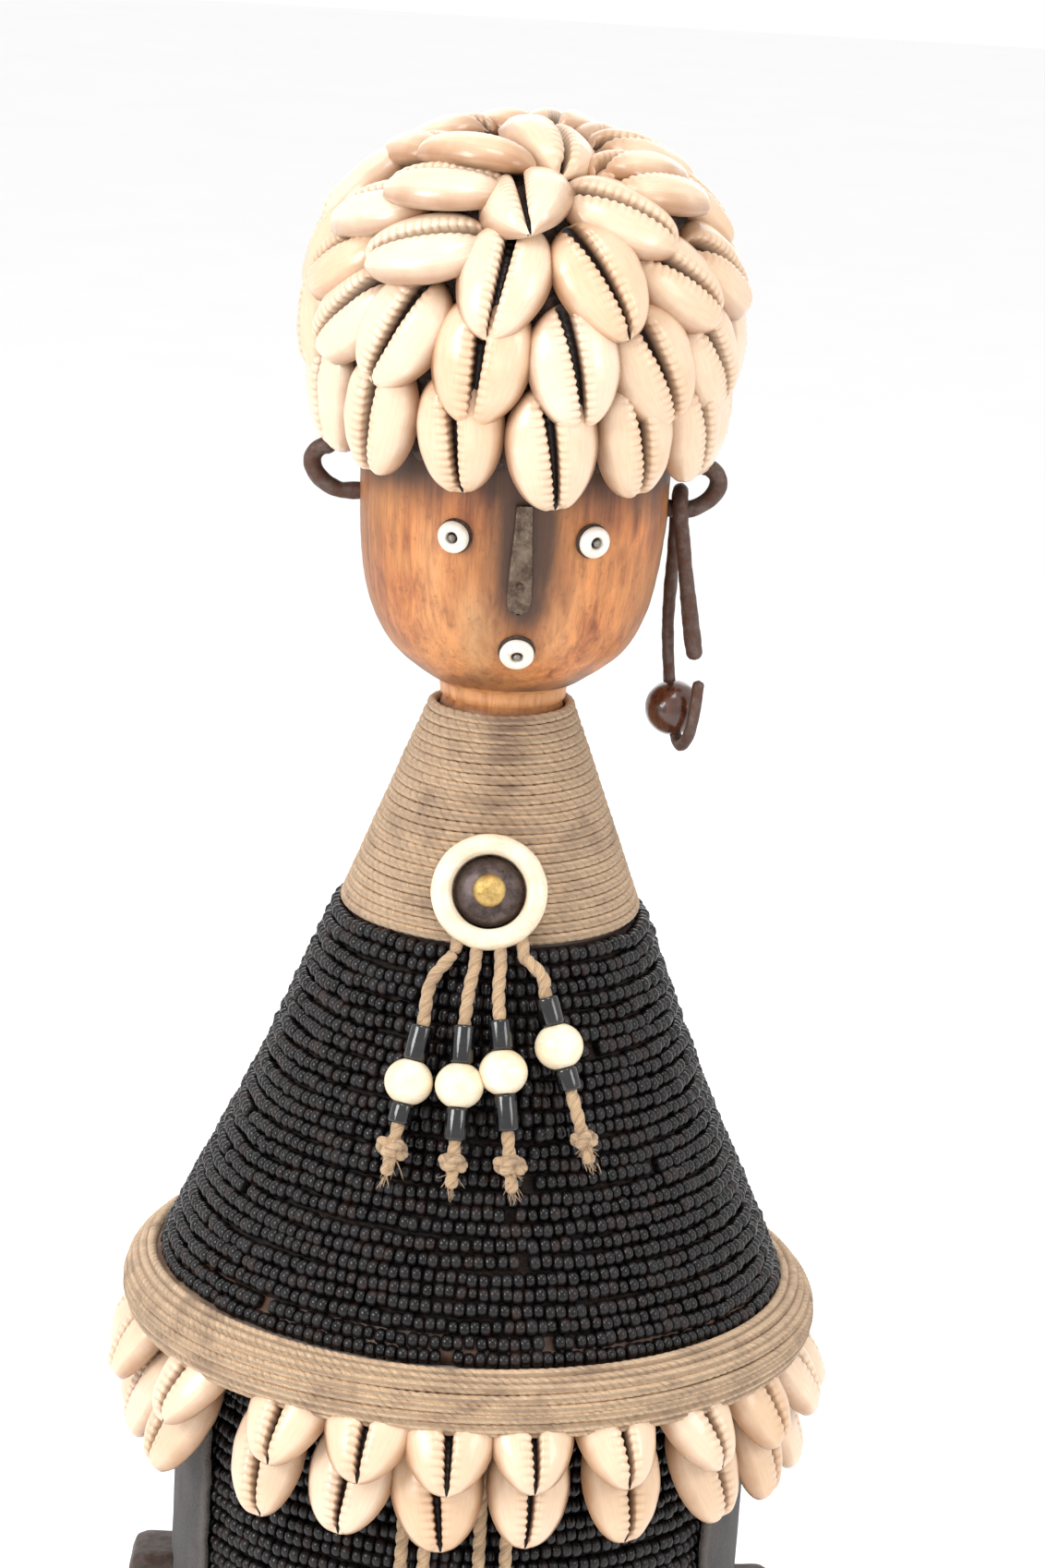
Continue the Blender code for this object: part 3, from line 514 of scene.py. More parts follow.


# dirt colour, also laid on as painted shade in the twine's valleys and shaded places
GRIME_AND_SHADE = (122, 82, 52)
LOOKS = {
    "wood": wood_look(),
    "arm": dark_wood_look(),
    "pitch": pitch_look(),
    "shell": shell_look("cowrie_shell", (240, 219, 194), (222, 186, 150), (156, 102, 64)),
    "fringe": shell_look("fringe_shell", (236, 211, 184), (216, 180, 144), (166, 116, 76)),
    "twine": twine_look("plant_twine", (240, 206, 164), (196, 154, 112), GRIME_AND_SHADE),
    "cord": twine_look("cord_twine", (226, 192, 148), (180, 140, 100), GRIME_AND_SHADE, 0.6),
    "seed": seed_look(),
    "thread": thread_and_shade_look(),
    "leather": leather_look(),
    "eye": bone_look("white_face_bead", (240, 234, 224), (222, 210, 192)),
    "ivory": bone_look("ivory_ring", (240, 226, 202), (224, 200, 166)),
    "cream": bone_look("cream_bead", (250, 238, 214), (236, 212, 174)),
    "pin": metal_look("grey_pin", (150, 146, 142), (112, 106, 100), (74, 56, 44), 0.6),
    "nose": metal_look("worn_nose_metal", (126, 110, 96), (88, 72, 60), (60, 40, 28), 0.5,
                       0.9, (0.26, 0.55)),
    "iron": metal_look("rusty_iron_wire", (104, 88, 80), (74, 56, 48), (88, 52, 36), 0.46,
                       0.6, (0.42, 0.72)),
    "gun": metal_look("gunmetal_dome", (104, 92, 90), (68, 56, 52), (46, 32, 26), 0.5,
                      0.95, (0.24, 0.42)),
    "brass": metal_look("brass_stud", (214, 184, 120), (170, 136, 76), (110, 80, 46), 0.6,
                        0.95, (0.24, 0.5)),
    "tube": glass_tube_look(),
    "dark_bead": polished_bead_look(),
}

# ---- camera -----------------------------------------------------------------------------------
CAMERA_DISTANCE, CAMERA_HEIGHT = 737.0, 386.8
CAMERA_PITCH, CAMERA_ROLL = math.radians(15.39), math.radians(3.28)
SENSOR_WIDTH, LENS = 36.0, 116.607774
SIDE_SHIFT = 0.01595995  # share of the frame's longer side

camera_data = bpy.data.cameras.new("camera")
camera_data.sensor_width = SENSOR_WIDTH
camera_data.lens = LENS
camera_data.shift_x = SIDE_SHIFT
camera_data.clip_start, camera_data.clip_end = 0.01, 20.0
camera = bpy.data.objects.new("camera", camera_data)
bpy.context.scene.collection.objects.link(camera)
right = np.array((1.0, 0.0, 0.0))
up = np.array((0.0, math.sin(CAMERA_PITCH), math.cos(CAMERA_PITCH)))
back = np.array((0.0, -math.cos(CAMERA_PITCH), math.sin(CAMERA_PITCH)))
rolled_right = right * math.cos(CAMERA_ROLL) + up * math.sin(CAMERA_ROLL)
rolled_up = up * math.cos(CAMERA_ROLL) - right * math.sin(CAMERA_ROLL)
camera.matrix_world = world_pose(np.stack((rolled_right, rolled_up, back), -1),
                                 (0.0, -CAMERA_DISTANCE, CAMERA_HEIGHT))
bpy.context.scene.camera = camera


# ---- surfaces of the body ---------------------------------------------------------------------
def profile_radius(profile, height):
    order = np.argsort(profile[:, 1])
    return np.interp(height, profile[order, 1], profile[order, 0])


def chest_surface(x, height, lift):
    """Point over the front of the chest at a sideways position and height."""
    radius = profile_radius(CHEST_PROFILE, height)
    if height > WAIST_Z:
        share = (NECK_Z - height) / (NECK_Z - WAIST_Z)
        radius = NECK_R + 1.0 + (WAIST_R + GAP + TWINE_D - NECK_R - 1.0) * share
    radius += lift
    return np.array((x, -math.sqrt(radius * radius - x * x), height))


def face_point(yaw, height, lift):
    """A point over the head's surface and the outward direction there."""
    radius = profile_radius(HEAD_PROFILE, height)
    slope = profile_radius(HEAD_PROFILE, height + 1) - profile_radius(HEAD_PROFILE, height - 1)
    outward = unit((math.sin(yaw), -math.cos(yaw), -slope / 2))
    return np.array((math.sin(yaw) * radius, -math.cos(yaw) * radius, height)) + outward * lift, outward


def around(theta):
    """Outward directions at angles from the front, growing towards +X."""
    theta = np.asarray(theta, float)
    return np.stack((np.sin(theta), -np.cos(theta), 0 * theta), -1)


def streak(theta, middle, width, z, heights, amounts):
    """An upright streak: a bell of the angle times amounts that follow the height."""
    return np.exp(-((theta - middle) / width) ** 2) * np.interp(z, heights, amounts)


UP = np.array((0.0, 0.0, 1.0))


# ---- cords ------------------------------------------------------------------------------------
def fibre_tuft(centre, direction, count, length, spread, seed):
    """Loose fibres fanning out of a cut cord end."""
    local = np.random.default_rng(seed)
    parts = []
    for _ in range(count):
        way = unit(unit(direction) + local.normal(size=3) * spread)
        start = centre + local.normal(size=3) * 0.35
        curl = local.normal(size=3) * 0.35
        reach = length * local.uniform(0.55, 1.0)
        points = [start + way * reach * t + curl * t * t for t in (0.0, 0.35, 0.7, 1.0)]
        radius = np.interp(np.arange(7), (0, 6), (0.13, 0.05))
        parts.append(sweep(smooth_curve(points, 2), radius, 5, (0.31, 0.87, 0.11)))
    return parts


def laid_cord(name, points, radius, body, node, tuft, seed):
    """A two-strand twisted cord along its route."""
    path = resample(points, 0.25)
    along = unit(path[-1] - path[-4])
    parts = [sweep(path, radius, 14, (1.0, 0.1, 0.05), plies=2, depth=0.30, lay=4.6)]
    parts += fibre_tuft(path[-1] - along * 0.4, along, tuft, 2.2, 0.22, seed)
    verts, quads, strand = merge(parts)
    shade = np.clip(waves(verts, 9.0, seed), 0, 1) * 0.25
    obj = piece(name, verts, quads, LOOKS["cord"], body, (node,), "plant_twine", strand=strand,
                shade=shade)
    path_length(points) * MM


def tube_bead(name, length, centre, along, body):
    """A cut glass tube with slightly rounded ends."""
    half = length / 2
    hole = PENDANT_CORD_R + 0.05
    outline = [(hole, -half + 0.35), (hole, -half), (PENDANT_TUBE_R - 0.28, -half),
               (PENDANT_TUBE_R - 0.06, -half + 0.12), (PENDANT_TUBE_R, -half + 0.4),
               (PENDANT_TUBE_R, 0.0), (PENDANT_TUBE_R, half - 0.4), (PENDANT_TUBE_R - 0.06, half - 0.12),
               (PENDANT_TUBE_R - 0.28, half), (hole, half), (hole, half - 0.35)]
    verts, quads = lathe(outline, 40)
    return piece(name + "_glass", placed(verts, -along, centre), quads, LOOKS["tube"], body, (name,),
                 "black_tube_bead")


def round_bead(name, radius, hole, centre, along, body, look, slot, squash=1.0):
    """A drilled bead, its holes softened and its roundness a little off."""
    top = math.acos(min(1.0, (hole + 0.15) / radius))
    angles = np.linspace(-top, top, 25)
    ball = np.stack((radius * np.cos(angles), radius * np.sin(angles) * squash), -1)
    lip = radius * math.sin(top) * squash
    outline = np.vstack(((hole, -lip + 0.7), (hole, -lip + 0.12), ball, (hole, lip - 0.12),
                         (hole, lip - 0.7)))
    verts, quads = lathe(outline, 64)
    bulk = np.hypot(verts[:, 0], verts[:, 1]) > hole + 0.1
    verts = verts * (1 + 0.008 * (waves(verts, radius * 3, int(radius * 40)) * bulk)[:, None])
    return piece(name + "_turned", placed(verts, -along, centre), quads, LOOKS[look], body, (name,),
                 slot)


def knot(name, radius, centre, along, body, seed):
    """An overhand knot of the same cord, with the fibres of its cut end."""
    t = np.linspace(0.0, TAU, 160, endpoint=False)
    curve = np.stack((np.sin(t) + 2 * np.sin(2 * t), np.cos(t) - 2 * np.cos(2 * t), -np.sin(3 * t)), -1)
    wire = 0.82
    curve = curve * np.array((1.0, 1.0, 1.15)) * (radius - wire) / 3.0 * KNOT_SPREAD
    curve = np.vstack((curve, curve[:1]))
    parts = [sweep(curve, wire, 14, (0.2, 0.3, 0.93), plies=2, depth=0.28, lay=3.6, blunt=False)]
    ball = np.linspace(-math.pi / 2, math.pi / 2, 13)
    core = lathe(np.stack((np.cos(ball) * radius * 0.62 + 0.01, np.sin(ball) * radius * 0.62), -1), 24)
    parts.append((*core, np.zeros((len(core[0]), 3))))
    verts, quads, strand = merge(parts)
    verts = placed(verts, -along, centre)
    tuft = merge(fibre_tuft(centre + along * radius * 0.5, along, 20, radius + 0.9, 0.5, seed))
    verts, quads, strand = merge([(verts, quads, strand), tuple(tuft)])
    shade = np.clip(waves(verts, 4.0, seed) * 0.6, 0, 1) * 0.5
    return piece(name + "_tied", verts, quads, LOOKS["cord"], body, (name,), "plant_twine", strand=strand,
                 shade=shade)


def build_pendant(index):
    tag, body = "pendant_%d_" % (index + 1), "pendant_%d" % (index + 1)
    top, bend, start, finish = PENDANT_ROUTES[index]
    pivot = chest_surface(*top, 1.9)
    first = chest_surface(*start, PENDANT_LIFT)
    last = chest_surface(*finish, PENDANT_LIFT)
    along = unit(last - first)
    points = smooth_curve([pivot, chest_surface(*bend, 2.6), first - along * 0.6], 3)
    knot_r = PENDANT_KNOT_R[index]
    run = np.linalg.norm(last - first) + knot_r + PENDANT_TAIL + 0.6
    points = np.vstack((points, [points[-1] + along * run * k / 5 for k in range(1, 6)]))
    upper, lower = PENDANT_UPPER_TUBES[index], PENDANT_LOWER_TUBES[index]
    bead_at = upper + GAP + PENDANT_BEAD_R * 0.93 * 0.95
    riders = [
        tube_bead(tag + "upper_tube", upper, first + along * upper / 2, along, body),
        round_bead(tag + "bead", PENDANT_BEAD_R + 0.25, PENDANT_CORD_R + 0.05, first + along * bead_at,
                   along, body + "_bead", "cream", "cream_bead", 0.95),
        tube_bead(tag + "lower_tube", lower, first + along * (2 * bead_at - upper + lower / 2), along,
                  body),
        knot(tag + "knot", knot_r, last, along, body, 30 + index),
    ]
    root = smooth_curve([chest_surface(top[0] * 0.8, top[1] + 4.0, 1.0),
                         chest_surface(top[0] * 0.93, top[1] + 1.8, 1.5), pivot,
                         points[np.argmin(abs(np.linalg.norm(points - pivot, axis=1) - 0.9))]], 6)
    verts, quads, strand = sweep(root, PENDANT_CORD_R * 0.97, 12, (0.0, 1.0, 0.2), plies=2, depth=0.16)
    piece(tag + "root", verts, quads, LOOKS["cord"], slot="plant_twine", strand=strand,
          shade=np.full(len(verts), 0.15))
    laid_cord(tag + "cord_twisted", points, PENDANT_CORD_R, body, tag + "cord", 9, 11 + index)


def build_front_cord(index):
    x = FRONT_CORD_X[index]
    hang_r = DRUM_R + 2 * GAP + SEED_D + FRONT_CORD_R + 0.2
    y = -math.sqrt(hang_r * hang_r - x * x)
    top = np.array((x, y, FRONT_CORD_TOP))
    low = np.array((x * 1.12, y - 0.2, FRONT_CORD_ENDS[index]))
    points = np.linspace(top, low, 13)
    laid_cord("front_cord_%d_twisted" % (index + 1), points, FRONT_CORD_R, "doll",
              "front_cord_%d" % (index + 1), 14, 50 + index)


for index in range(4):
    build_pendant(index)
    build_front_cord(index)


# ---- carved wood ------------------------------------------------------------------------------
def leg_sections(side):
    """Stations up a leg as (height, half width, half depth, forward shift)."""
    stations = smooth_curve(((0.3, 12.6, 16.0, -4.0), (1.2, 13.6, 17.0, -4.0), (5.0, 13.7, 17.0, -4.0),
                             (9.0, 13.2, 16.0, -3.6), (13.0, 11.4, 12.4, -1.4), (18.0, 10.8, 11.2, 0.0),
                             (34.0, 11.0, 11.4, 0.0), (50.0, 12.4, 12.6, 0.0)), 6)
    stations = np.vstack(((0.0, 0.05, 0.05, -4.0), (0.0, 12.3, 15.6, -4.0), stations))
    angle = np.arange(64) / 64 * TAU
    z, half_x, half_y, shift = (stations[:, k:k + 1] for k in range(4))
    rings = np.stack(np.broadcast_arrays(side * LEG_X + half_x * np.cos(angle),
                                         shift + half_y * np.sin(angle), z), -1)
    return rings.reshape(-1, 3), grid_quads(len(stations), 64)


def build_core():
    body = [(0.05, 43.4), (14.0, 43.4), (26.0, 43.8), (30.0, 44.8), (33.0, 46.4), (36.4, 48.6),
            (39.0, 51.4), (DRUM_R, 56.0), (DRUM_R, 70.0), (DRUM_R, 84.0), (DRUM_R, DRUM_TOP_Z),
            (42.4, 103.4), (42.4, 106.6), (46.0, 108.4), (46.0, 110.7)]
    body += [(r - SEED_D - GAP, z) for r, z in CHEST_PROFILE[::-1]]
    body += [(WAIST_R, WAIST_Z), (NECK_R - 0.8, NECK_Z - 0.2), (NECK_R, NECK_Z), (9.5, 199.2)]
    lower = resample(body, 1.0)
    head = smooth_curve(HEAD_PROFILE, 8)
    verts, quads = lathe(np.vstack((lower, head)), 160)
    r = np.hypot(verts[:, 0], verts[:, 1])
    z = verts[:, 2]
    on_head = z > 200.0
    bumps = waves(verts, 12.0, 3) * 0.10 + waves(verts, 4.0, 4) * 0.035
    verts[:, :2] *= (1 + on_head * bumps / np.maximum(r, 3.0))[:, None]
    verts, quads = merge([(verts, quads), leg_sections(-1), leg_sections(1)])
    theta = np.arctan2(verts[:, 0], -verts[:, 1]) - FACE_YAW
    z = verts[:, 2]
    head_here = (z > 198.0).astype(float)
    uneven = waves(verts, 9.0, 5)
    beside_nose = streak(theta + uneven * 0.02, 0.05, 0.16, z, (211, 216, 224, 232), (0.1, 0.9, 1.25, 1.3))
    beside_nose += streak(theta, -0.10, 0.30, z, (203, 209, 222, 232), (0, 0.35, 0.55, 0.7))
    # brow, chin and flanks: painted shade, all round the head under the cap's overhang, on the head's
    # underside and on its sides turned away from the front
    brow = np.interp(z + uneven * 1.2, (226.0, 229.5, 234.0), (0.0, 0.35, 1.0))
    chin = np.interp(z + uneven * 1.5, (200.0, 203.5, 207.0), (1.0, 0.6, 0.0))
    flanks = np.interp(np.abs(theta), (0.75, 1.35), (0.0, 0.45))
    scorch = np.clip(np.maximum.reduce((beside_nose, brow, chin * 0.8, flanks)), 0, 1) * head_here
    scorch = np.where(z < 198.0, 0.72, scorch)
    # painted shade: the wood under the chest beads, the twine and the band fully dark, for the gaps between
    # rows and turns
    scorch = np.where((z > 98.0) & (z < 196.0), 1.0, scorch)
    pale = streak(theta, -0.30, 0.13, z, (202, 208, 216, 221), (0, 0.9, 0.7, 0))
    pale += streak(theta, 0.28, 0.16, z, (205, 210, 219, 225), (0, 0.5, 0.4, 0))
    pale += streak(theta, -0.62, 0.12, z, (207, 213, 226, 231), (0, 0.4, 0.5, 0))
    neck = np.interp(z, (196.0, 198.6, 200.4, 201.6), (0, 0.6, 0.6, 0))
    pale = np.clip(np.maximum(pale * head_here, neck), 0, 1)
    scorch = np.where((z > 197.5) & (z < 201.2), 0.1, scorch)
    piece("carved_body", verts, quads, LOOKS["wood"], nodes=("carved_core",), slot="carved_wood",
          scorch=scorch, pale=pale)


def build_arm(name, side):
    """A short carved stub with soft, tool-worn edges, from inside the drum's surface outwards."""
    outline = np.array(((40.6, ARM_TOP_Z), (48.3, ARM_TOP_Z), (50.0, 56.7), (ARM_REACH, 54.8),
                        (50.5, 46.4), (49.1, 43.2), (46.5, 42.0), (42.5, 44.4), (40.6, 50.0)))
    dense = []
    for a, b in zip(outline, np.roll(outline, -1, axis=0)):
        dense += [a + (b - a) * t for t in np.arange(6) / 6]
    dense = np.array(dense)
    dense = (np.roll(dense, 1, 0) + dense * 2 + np.roll(dense, -1, 0)) / 4
    middle = dense.mean(0)
    across = np.concatenate(([-1.0], np.sin(np.linspace(-math.pi / 2, math.pi / 2, 17)), [1.0]))
    shrink = np.concatenate(([0.02], (1 - np.abs(across[1:-1]) ** 6 * 0.22), [0.02]))
    rings = middle + (dense - middle) * shrink[:, None, None]
    width = np.clip(across * 1.02, -1, 1) * ARM_HALF_WIDTH
    verts = np.stack((side * rings[..., 0], np.broadcast_to(width[:, None], rings.shape[:2]),
                      rings[..., 1]), -1).reshape(-1, 3)
    verts = verts + (verts - verts.mean(0)) * (waves(verts, 7.0, 8) * 0.012)[:, None]
    quads = grid_quads(len(across), len(dense))
    piece(name + "_carved", verts, quads, LOOKS["arm"], nodes=(name,), slot="dark_arm_wood")


build_core()
build_arm("arm_left", 1)
build_arm("arm_right", -1)


# ---- cowries ----------------------------------------------------------------------------------
SHELL_LENGTH, SHELL_WIDTH, SHELL_HEIGHT = 18.5, 13.2, 4.6


def shell_template():
    """One cut-backed cowrie, mouth up: X across, Y from the front tip to the top, Z outward.

    Returns points, quads, (across, along, depth in the mouth) and how deep in a groove of the teeth.
    """
    stations, side_columns = 84, 12
    theta = np.linspace(0.012, math.pi - 0.012, stations)[:, None]
    along = (1 - np.cos(theta)) / 2
    half_width = SHELL_WIDTH / 2 * np.sin(theta) ** 0.94 * (1 - 0.085 * np.cos(theta))
    height = SHELL_HEIGHT * np.sin(theta) ** 0.72
    middle = 0.35 - 1.35 * along + 0.25 * np.sin(along * math.pi)
    gap = 0.40 + 0.55 * np.clip((along - 0.08) / 0.8, 0, 1) ** 0.8
    gap = gap * np.clip(np.sin(theta) * 3.0, 0.12, 1.0)
    tooth = np.sin(along * SHELL_LENGTH / 1.22 * TAU)
    has_teeth = np.clip(np.sin(theta) * 1.8 - 0.3, 0, 1)
    columns, meta, grooves = [], [], []
    share = np.sin(np.linspace(0.0, math.pi / 2, side_columns))
    for side in (-1, 1):
        amount = 0.25 if side < 0 else 0.08
        edge = middle + side * (gap - amount * 0.5 * tooth * has_teeth)
        rim = side * half_width
        part, info, cut = [], [], []
        for f in share:
            x = rim + (edge - rim) * f
            dome = height * np.sqrt(np.clip(1 - (x / (half_width + 0.04)) ** 2, 0, 1)) ** 0.9
            from_edge = np.abs(x - edge)
            roll = np.clip(1 - from_edge / 1.5, 0, 1)
            dip = 0.85 * (1 - np.sqrt(np.clip(1 - roll ** 2, 0, 1)))
            reach = np.clip(1 - from_edge / (2.2 if side < 0 else 1.5), 0, 1)
            ridge = 0.085 * tooth * reach * has_teeth * (1.0 if side < 0 else 0.65)
            part.append((x, np.maximum(dome - dip * np.clip(height, 0, 1) + ridge, 0)))
            info.append((x / half_width, 0 * x))
            cut.append(np.clip(-tooth, 0, 1) * reach * has_teeth)
        top = part[-1][1]
        for sink, inward in ((1.0, 0.12), (2.3, 0.3)):
            part.append((edge - side * inward * gap, np.maximum(top - sink, 0.1)))
            info.append((edge / half_width, np.full_like(edge, sink / 2.3)))
            cut.append(0 * edge)
        if side > 0:
            part, info, cut = part[::-1], info[::-1], cut[::-1]
        columns += part
        meta += info
        grooves += cut
    for f in np.linspace(0.86, -0.86, 5):
        x = half_width * f
        columns.append((x, -0.9 * np.sin(theta) * np.sqrt(1 - f * f) - 0.05))
        meta.append((x / half_width, np.full_like(x, 0.3)))
        grooves.append(0 * x)
    x = np.concatenate([c[0] for c in columns], 1)
    z = np.concatenate([np.broadcast_to(c[1], x[:, :1].shape) for c in columns], 1)
    y = -SHELL_LENGTH / 2 * np.cos(theta) + 0 * x
    notch = np.exp(-((x - middle) / 0.8) ** 2) * np.clip(z, 0, 1)
    y = y + notch * 0.9 * np.clip(1 - along * 9, 0, 1) - notch * 0.7 * np.clip(along * 9 - 8, 0, 1)
    shell = np.stack((np.concatenate([m[0] for m in meta], 1), np.broadcast_to(along, x.shape),
                      np.concatenate([m[1] for m in meta], 1)), -1)
    verts = np.stack((x, y, z), -1).reshape(-1, 3)
    return (verts, grid_quads(stations, x.shape[1]), shell.reshape(-1, 3),
            np.concatenate(grooves, 1).ravel())


SHELL = shell_template()


def frame_at(theta, tangent, normal, tilt, lean):
    """Turn that sets a shell on a turned surface: tilted in its plane, its tip lifted by lean."""
    e = around(theta)
    y = e * tangent[0] + UP * tangent[1]
    z = e * normal[0] + UP * normal[1]
    x = np.cross(y, z)
    y, x = y * math.cos(tilt) + x * math.sin(tilt), x * math.cos(tilt) - y * math.sin(tilt)
    y, z = y * math.cos(lean) - z * math.sin(lean), z * math.cos(lean) + y * math.sin(lean)
    return np.stack((x, y, z), -1)


def shell_group(name, places, node, look, slot):
    """All shells of one row. places: (centre, turn, scale) each."""
    verts, quads, shell, groove = SHELL
    turns = np.array([turn * np.array(scale) for _, turn, scale in places])
    moves = np.array([centre for centre, _, _ in places])
    many, faces = replicate(verts, quads, turns, moves)
    own = np.repeat(rng.uniform(0, 1, len(places)), len(verts))
    many = many + unit(many - many.mean(0)) * (waves(many, 6.0, len(places)) * 0.10)[:, None]
    piece(name, many, faces, LOOKS[look], nodes=(node,), slot=slot, own=own,
          shell=np.tile(shell, (len(places), 1)), groove=np.tile(groove, len(places)))


CAP_STEP = 0.25
CAP_CURVE = resample(smooth_curve(CAP_PROFILE, 8), CAP_STEP)
PITCH_RIM_Z = 238.6  # the shells of the lowest row cover the pitch below it


def cap_at(distance):
    """Point, upward tangent and normal on the pitch cap's outline, as (radius, height)."""
    k = int(np.clip(distance / CAP_STEP, 1, len(CAP_CURVE) - 2))
    tangent = unit(CAP_CURVE[min(k + 6, len(CAP_CURVE) - 1)] - CAP_CURVE[max(k - 6, 0)])
    return CAP_CURVE[k], tangent, np.array((tangent[1], -tangent[0]))


# Each row of the cap: usual distance up the cap in mm, lean in degrees, count, width, and its set
# shells as (angle from the front and tilt in degrees, distance up the cap in mm). The rest fill the
# back.
HAT_ROWS = (
    (11.2, 12.0, 14, 1.02, ((-71.0, 8.0, 12.4), (-43.1, 16.0, 11.9), (-16.5, -2.0, 11.3), (9.8, -4.0, 10.0),
                            (36.1, -8.0, 10.8), (60.5, -17.0, 11.6))),
    (22.3, 13.0, 14, 1.08, ((-56.0, 50.0, 25.2), (-34.5, 28.0, 24.6), (-10.8, 9.0, 22.1),
                            (14.1, -6.0, 21.8), (39.3, -25.0, 21.4), (63.5, -30.0, 21.2))),
    (33.0, 13.0, 14, 1.04, ((-67.0, 54.0, 32.4), (-31.7, 72.0, 35.7), (-6.4, 12.0, 33.2),
                            (21.5, -22.0, 33.3), (50.4, -47.0, 32.7), (76.0, -48.0, 32.6))),
    (42.5, 12.0, 10, 1.04, ((-60.0, 66.0, 40.4), (-34.3, 74.0, 45.2), (33.1, -50.0, 42.3),
                            (57.1, -66.0, 45.8))),
    (50.8, 2.0, 8, 1.02, ((-96.0, 60.0, 50.6), (-32.0, 82.0, 52.6), (66.0, -70.0, 50.4))),
)
# shells seen end on: (name, middle, way the front tip points, way the mouth faces, width)
END_ON_SHELLS = (
    ("hat_cowrie_row_4", (-0.3, -21.2, 273.9), (0.02, -0.98, -0.19), (-0.30, -0.2, 0.93), 1.08),
    ("crown_cowrie", (1.9, -6.8, 279.3), (0.18, -0.97, -0.14), (0.40, -0.2, 0.88), 1.2),
)


def frame_towards(tip, facing):
    """Turn that points a shell's front tip one way and its mouth another."""
    y = -unit(tip)
    z = unit(np.array(facing) - y * np.dot(facing, y))
    return np.stack((np.cross(y, z), y, z), -1)


def build_hat():
    end_on = {name: (np.array(middle), frame_towards(tip, facing), (width, 1.0, 1.25))
              for name, middle, tip, facing, width in END_ON_SHELLS}
    for number, (usual, lean, count, width, known) in enumerate(HAT_ROWS):
        spots = [(math.radians(angle), math.radians(tilt), distance) for angle, tilt, distance in known]
        rest = count - len(known)
        start, stop = spots[-1][0], spots[0][0] + TAU
        for k in range(1, rest + 1):
            spots.append((start + (stop - start) * k / (rest + 1) + rng.uniform(-0.03, 0.03),
                          math.radians(rng.uniform(-20, 20)), usual + rng.uniform(-0.6, 0.6)))
        places = []
        for k, (theta, tilt, distance) in enumerate(spots):
            scale = rng.uniform(0.97, 1.03)
            flank = abs(math.sin(theta))
            point, tangent, normal = cap_at(distance)
            turn = frame_at(theta, tangent, normal, tilt + math.radians(rng.uniform(-2, 2)),
                            math.radians(lean * (1 - 0.5 * flank) + rng.uniform(-1.5, 1.5)))
            roll = -math.copysign(math.radians(32), tilt) * np.clip((abs(tilt) - 0.7) / 0.5, 0, 1)
            turn = turn @ np.array(Matrix.Rotation(roll, 3, "Y"))
            lift = 1.0 + (0.5 if k % 2 else 0.0) - 2.0 * flank
            centre = around(theta) * (point[0] + normal[0] * lift) + UP * (point[1] + normal[1] * lift)
            places.append((centre, turn, (scale * width * rng.uniform(0.97, 1.02), scale, 1.05)))
        node = "hat_cowrie_row_%d" % (number + 1)
        if node in end_on:
            places.append(end_on[node])
        shell_group(node + "_shells", places, node, "shell", "cowrie_shell")
    shell_group("crown_cowrie_shell", [end_on["crown_cowrie"]], "crown_cowrie", "shell", "cowrie_shell")
    shown = CAP_CURVE[CAP_CURVE[:, 1] > PITCH_RIM_Z]
    verts, quads = lathe(shown, 160)
    inner = lathe(np.array((shown[0], (25.2, 237.4), (23.4, 237.0), (22.6, 240.0))), 160)
    verts, quads = merge([(verts, quads), inner])
    lumps = waves(verts, 5.0, 21) * 0.35 + waves(verts, 1.8, 22) * 0.22
    verts = verts + unit(verts - np.array((0, 0, 250.0))) * np.clip(lumps, -0.5, 0.6)[:, None]
    piece("hair_pitch_lumps", verts, quads, LOOKS["pitch"], nodes=("hair_pitch_cap",), slot="dark_pitch")


def build_fringe():
    upper_angles = [-77.0, -52.5, -30.3, -15.2, -1.8, 12.0, 27.0, 43.5, 60.5, 78.0]
    lower_angles = [-60.0, -35.5, -18.8, -3.5, 12.4, 29.8, 48.8, 66.0]
    rows = (("fringe_cowries_upper", upper_angles, 24, (49.0, 99.3), 38.0, 3.2),
            ("fringe_cowries_lower", lower_angles, 22, (47.6, 90.2), 23.0, 3.2))
    for node, known, count, (radius, height), flare, sag in rows:
        angles = [math.radians(a) for a in known]
        rest = count - len(known)
        start, stop = angles[-1], angles[0] + TAU
        angles += [start + (stop - start) * k / (rest + 1) for k in range(1, rest + 1)]
        places = []
        for theta in angles:
            tip = math.radians(flare + rng.uniform(-3, 3))
            tangent = np.array((-math.sin(tip), math.cos(tip)))
            normal = np.array((math.cos(tip), math.sin(tip)))
            tilt = math.radians(rng.uniform(-9, 9)) - 0.12 * math.sin(theta)
            turn = frame_at(theta, tangent, normal, tilt, 0.0)
            drop = sag * (1 - math.cos(theta)) * 0.9 * (abs(math.sin(theta)) if math.cos(theta) > 0 else 1)
            centre = around(theta) * radius + UP * (height - min(drop, sag) + rng.uniform(-0.4, 0.4))
            scale = rng.uniform(0.96, 1.03)
            places.append((centre, turn, (scale * rng.uniform(0.98, 1.05), scale, 0.98)))
        shell_group(node + "_shells", places, node, "fringe", "fringe_shell")


build_hat()
build_fringe()


# ---- twine, rope and seed beads ---------------------------------------------------------------
OUTLINE_STEP = 0.2
BEAD_ROW_PITCH, BEAD_SPACING = 2.36, 1.64


def outline_at(outline, at):
    """Radius and height at fractional indices of an outline."""
    index = np.arange(len(outline))
    return np.interp(at, index, outline[:, 0]), np.interp(at, index, outline[:, 1])


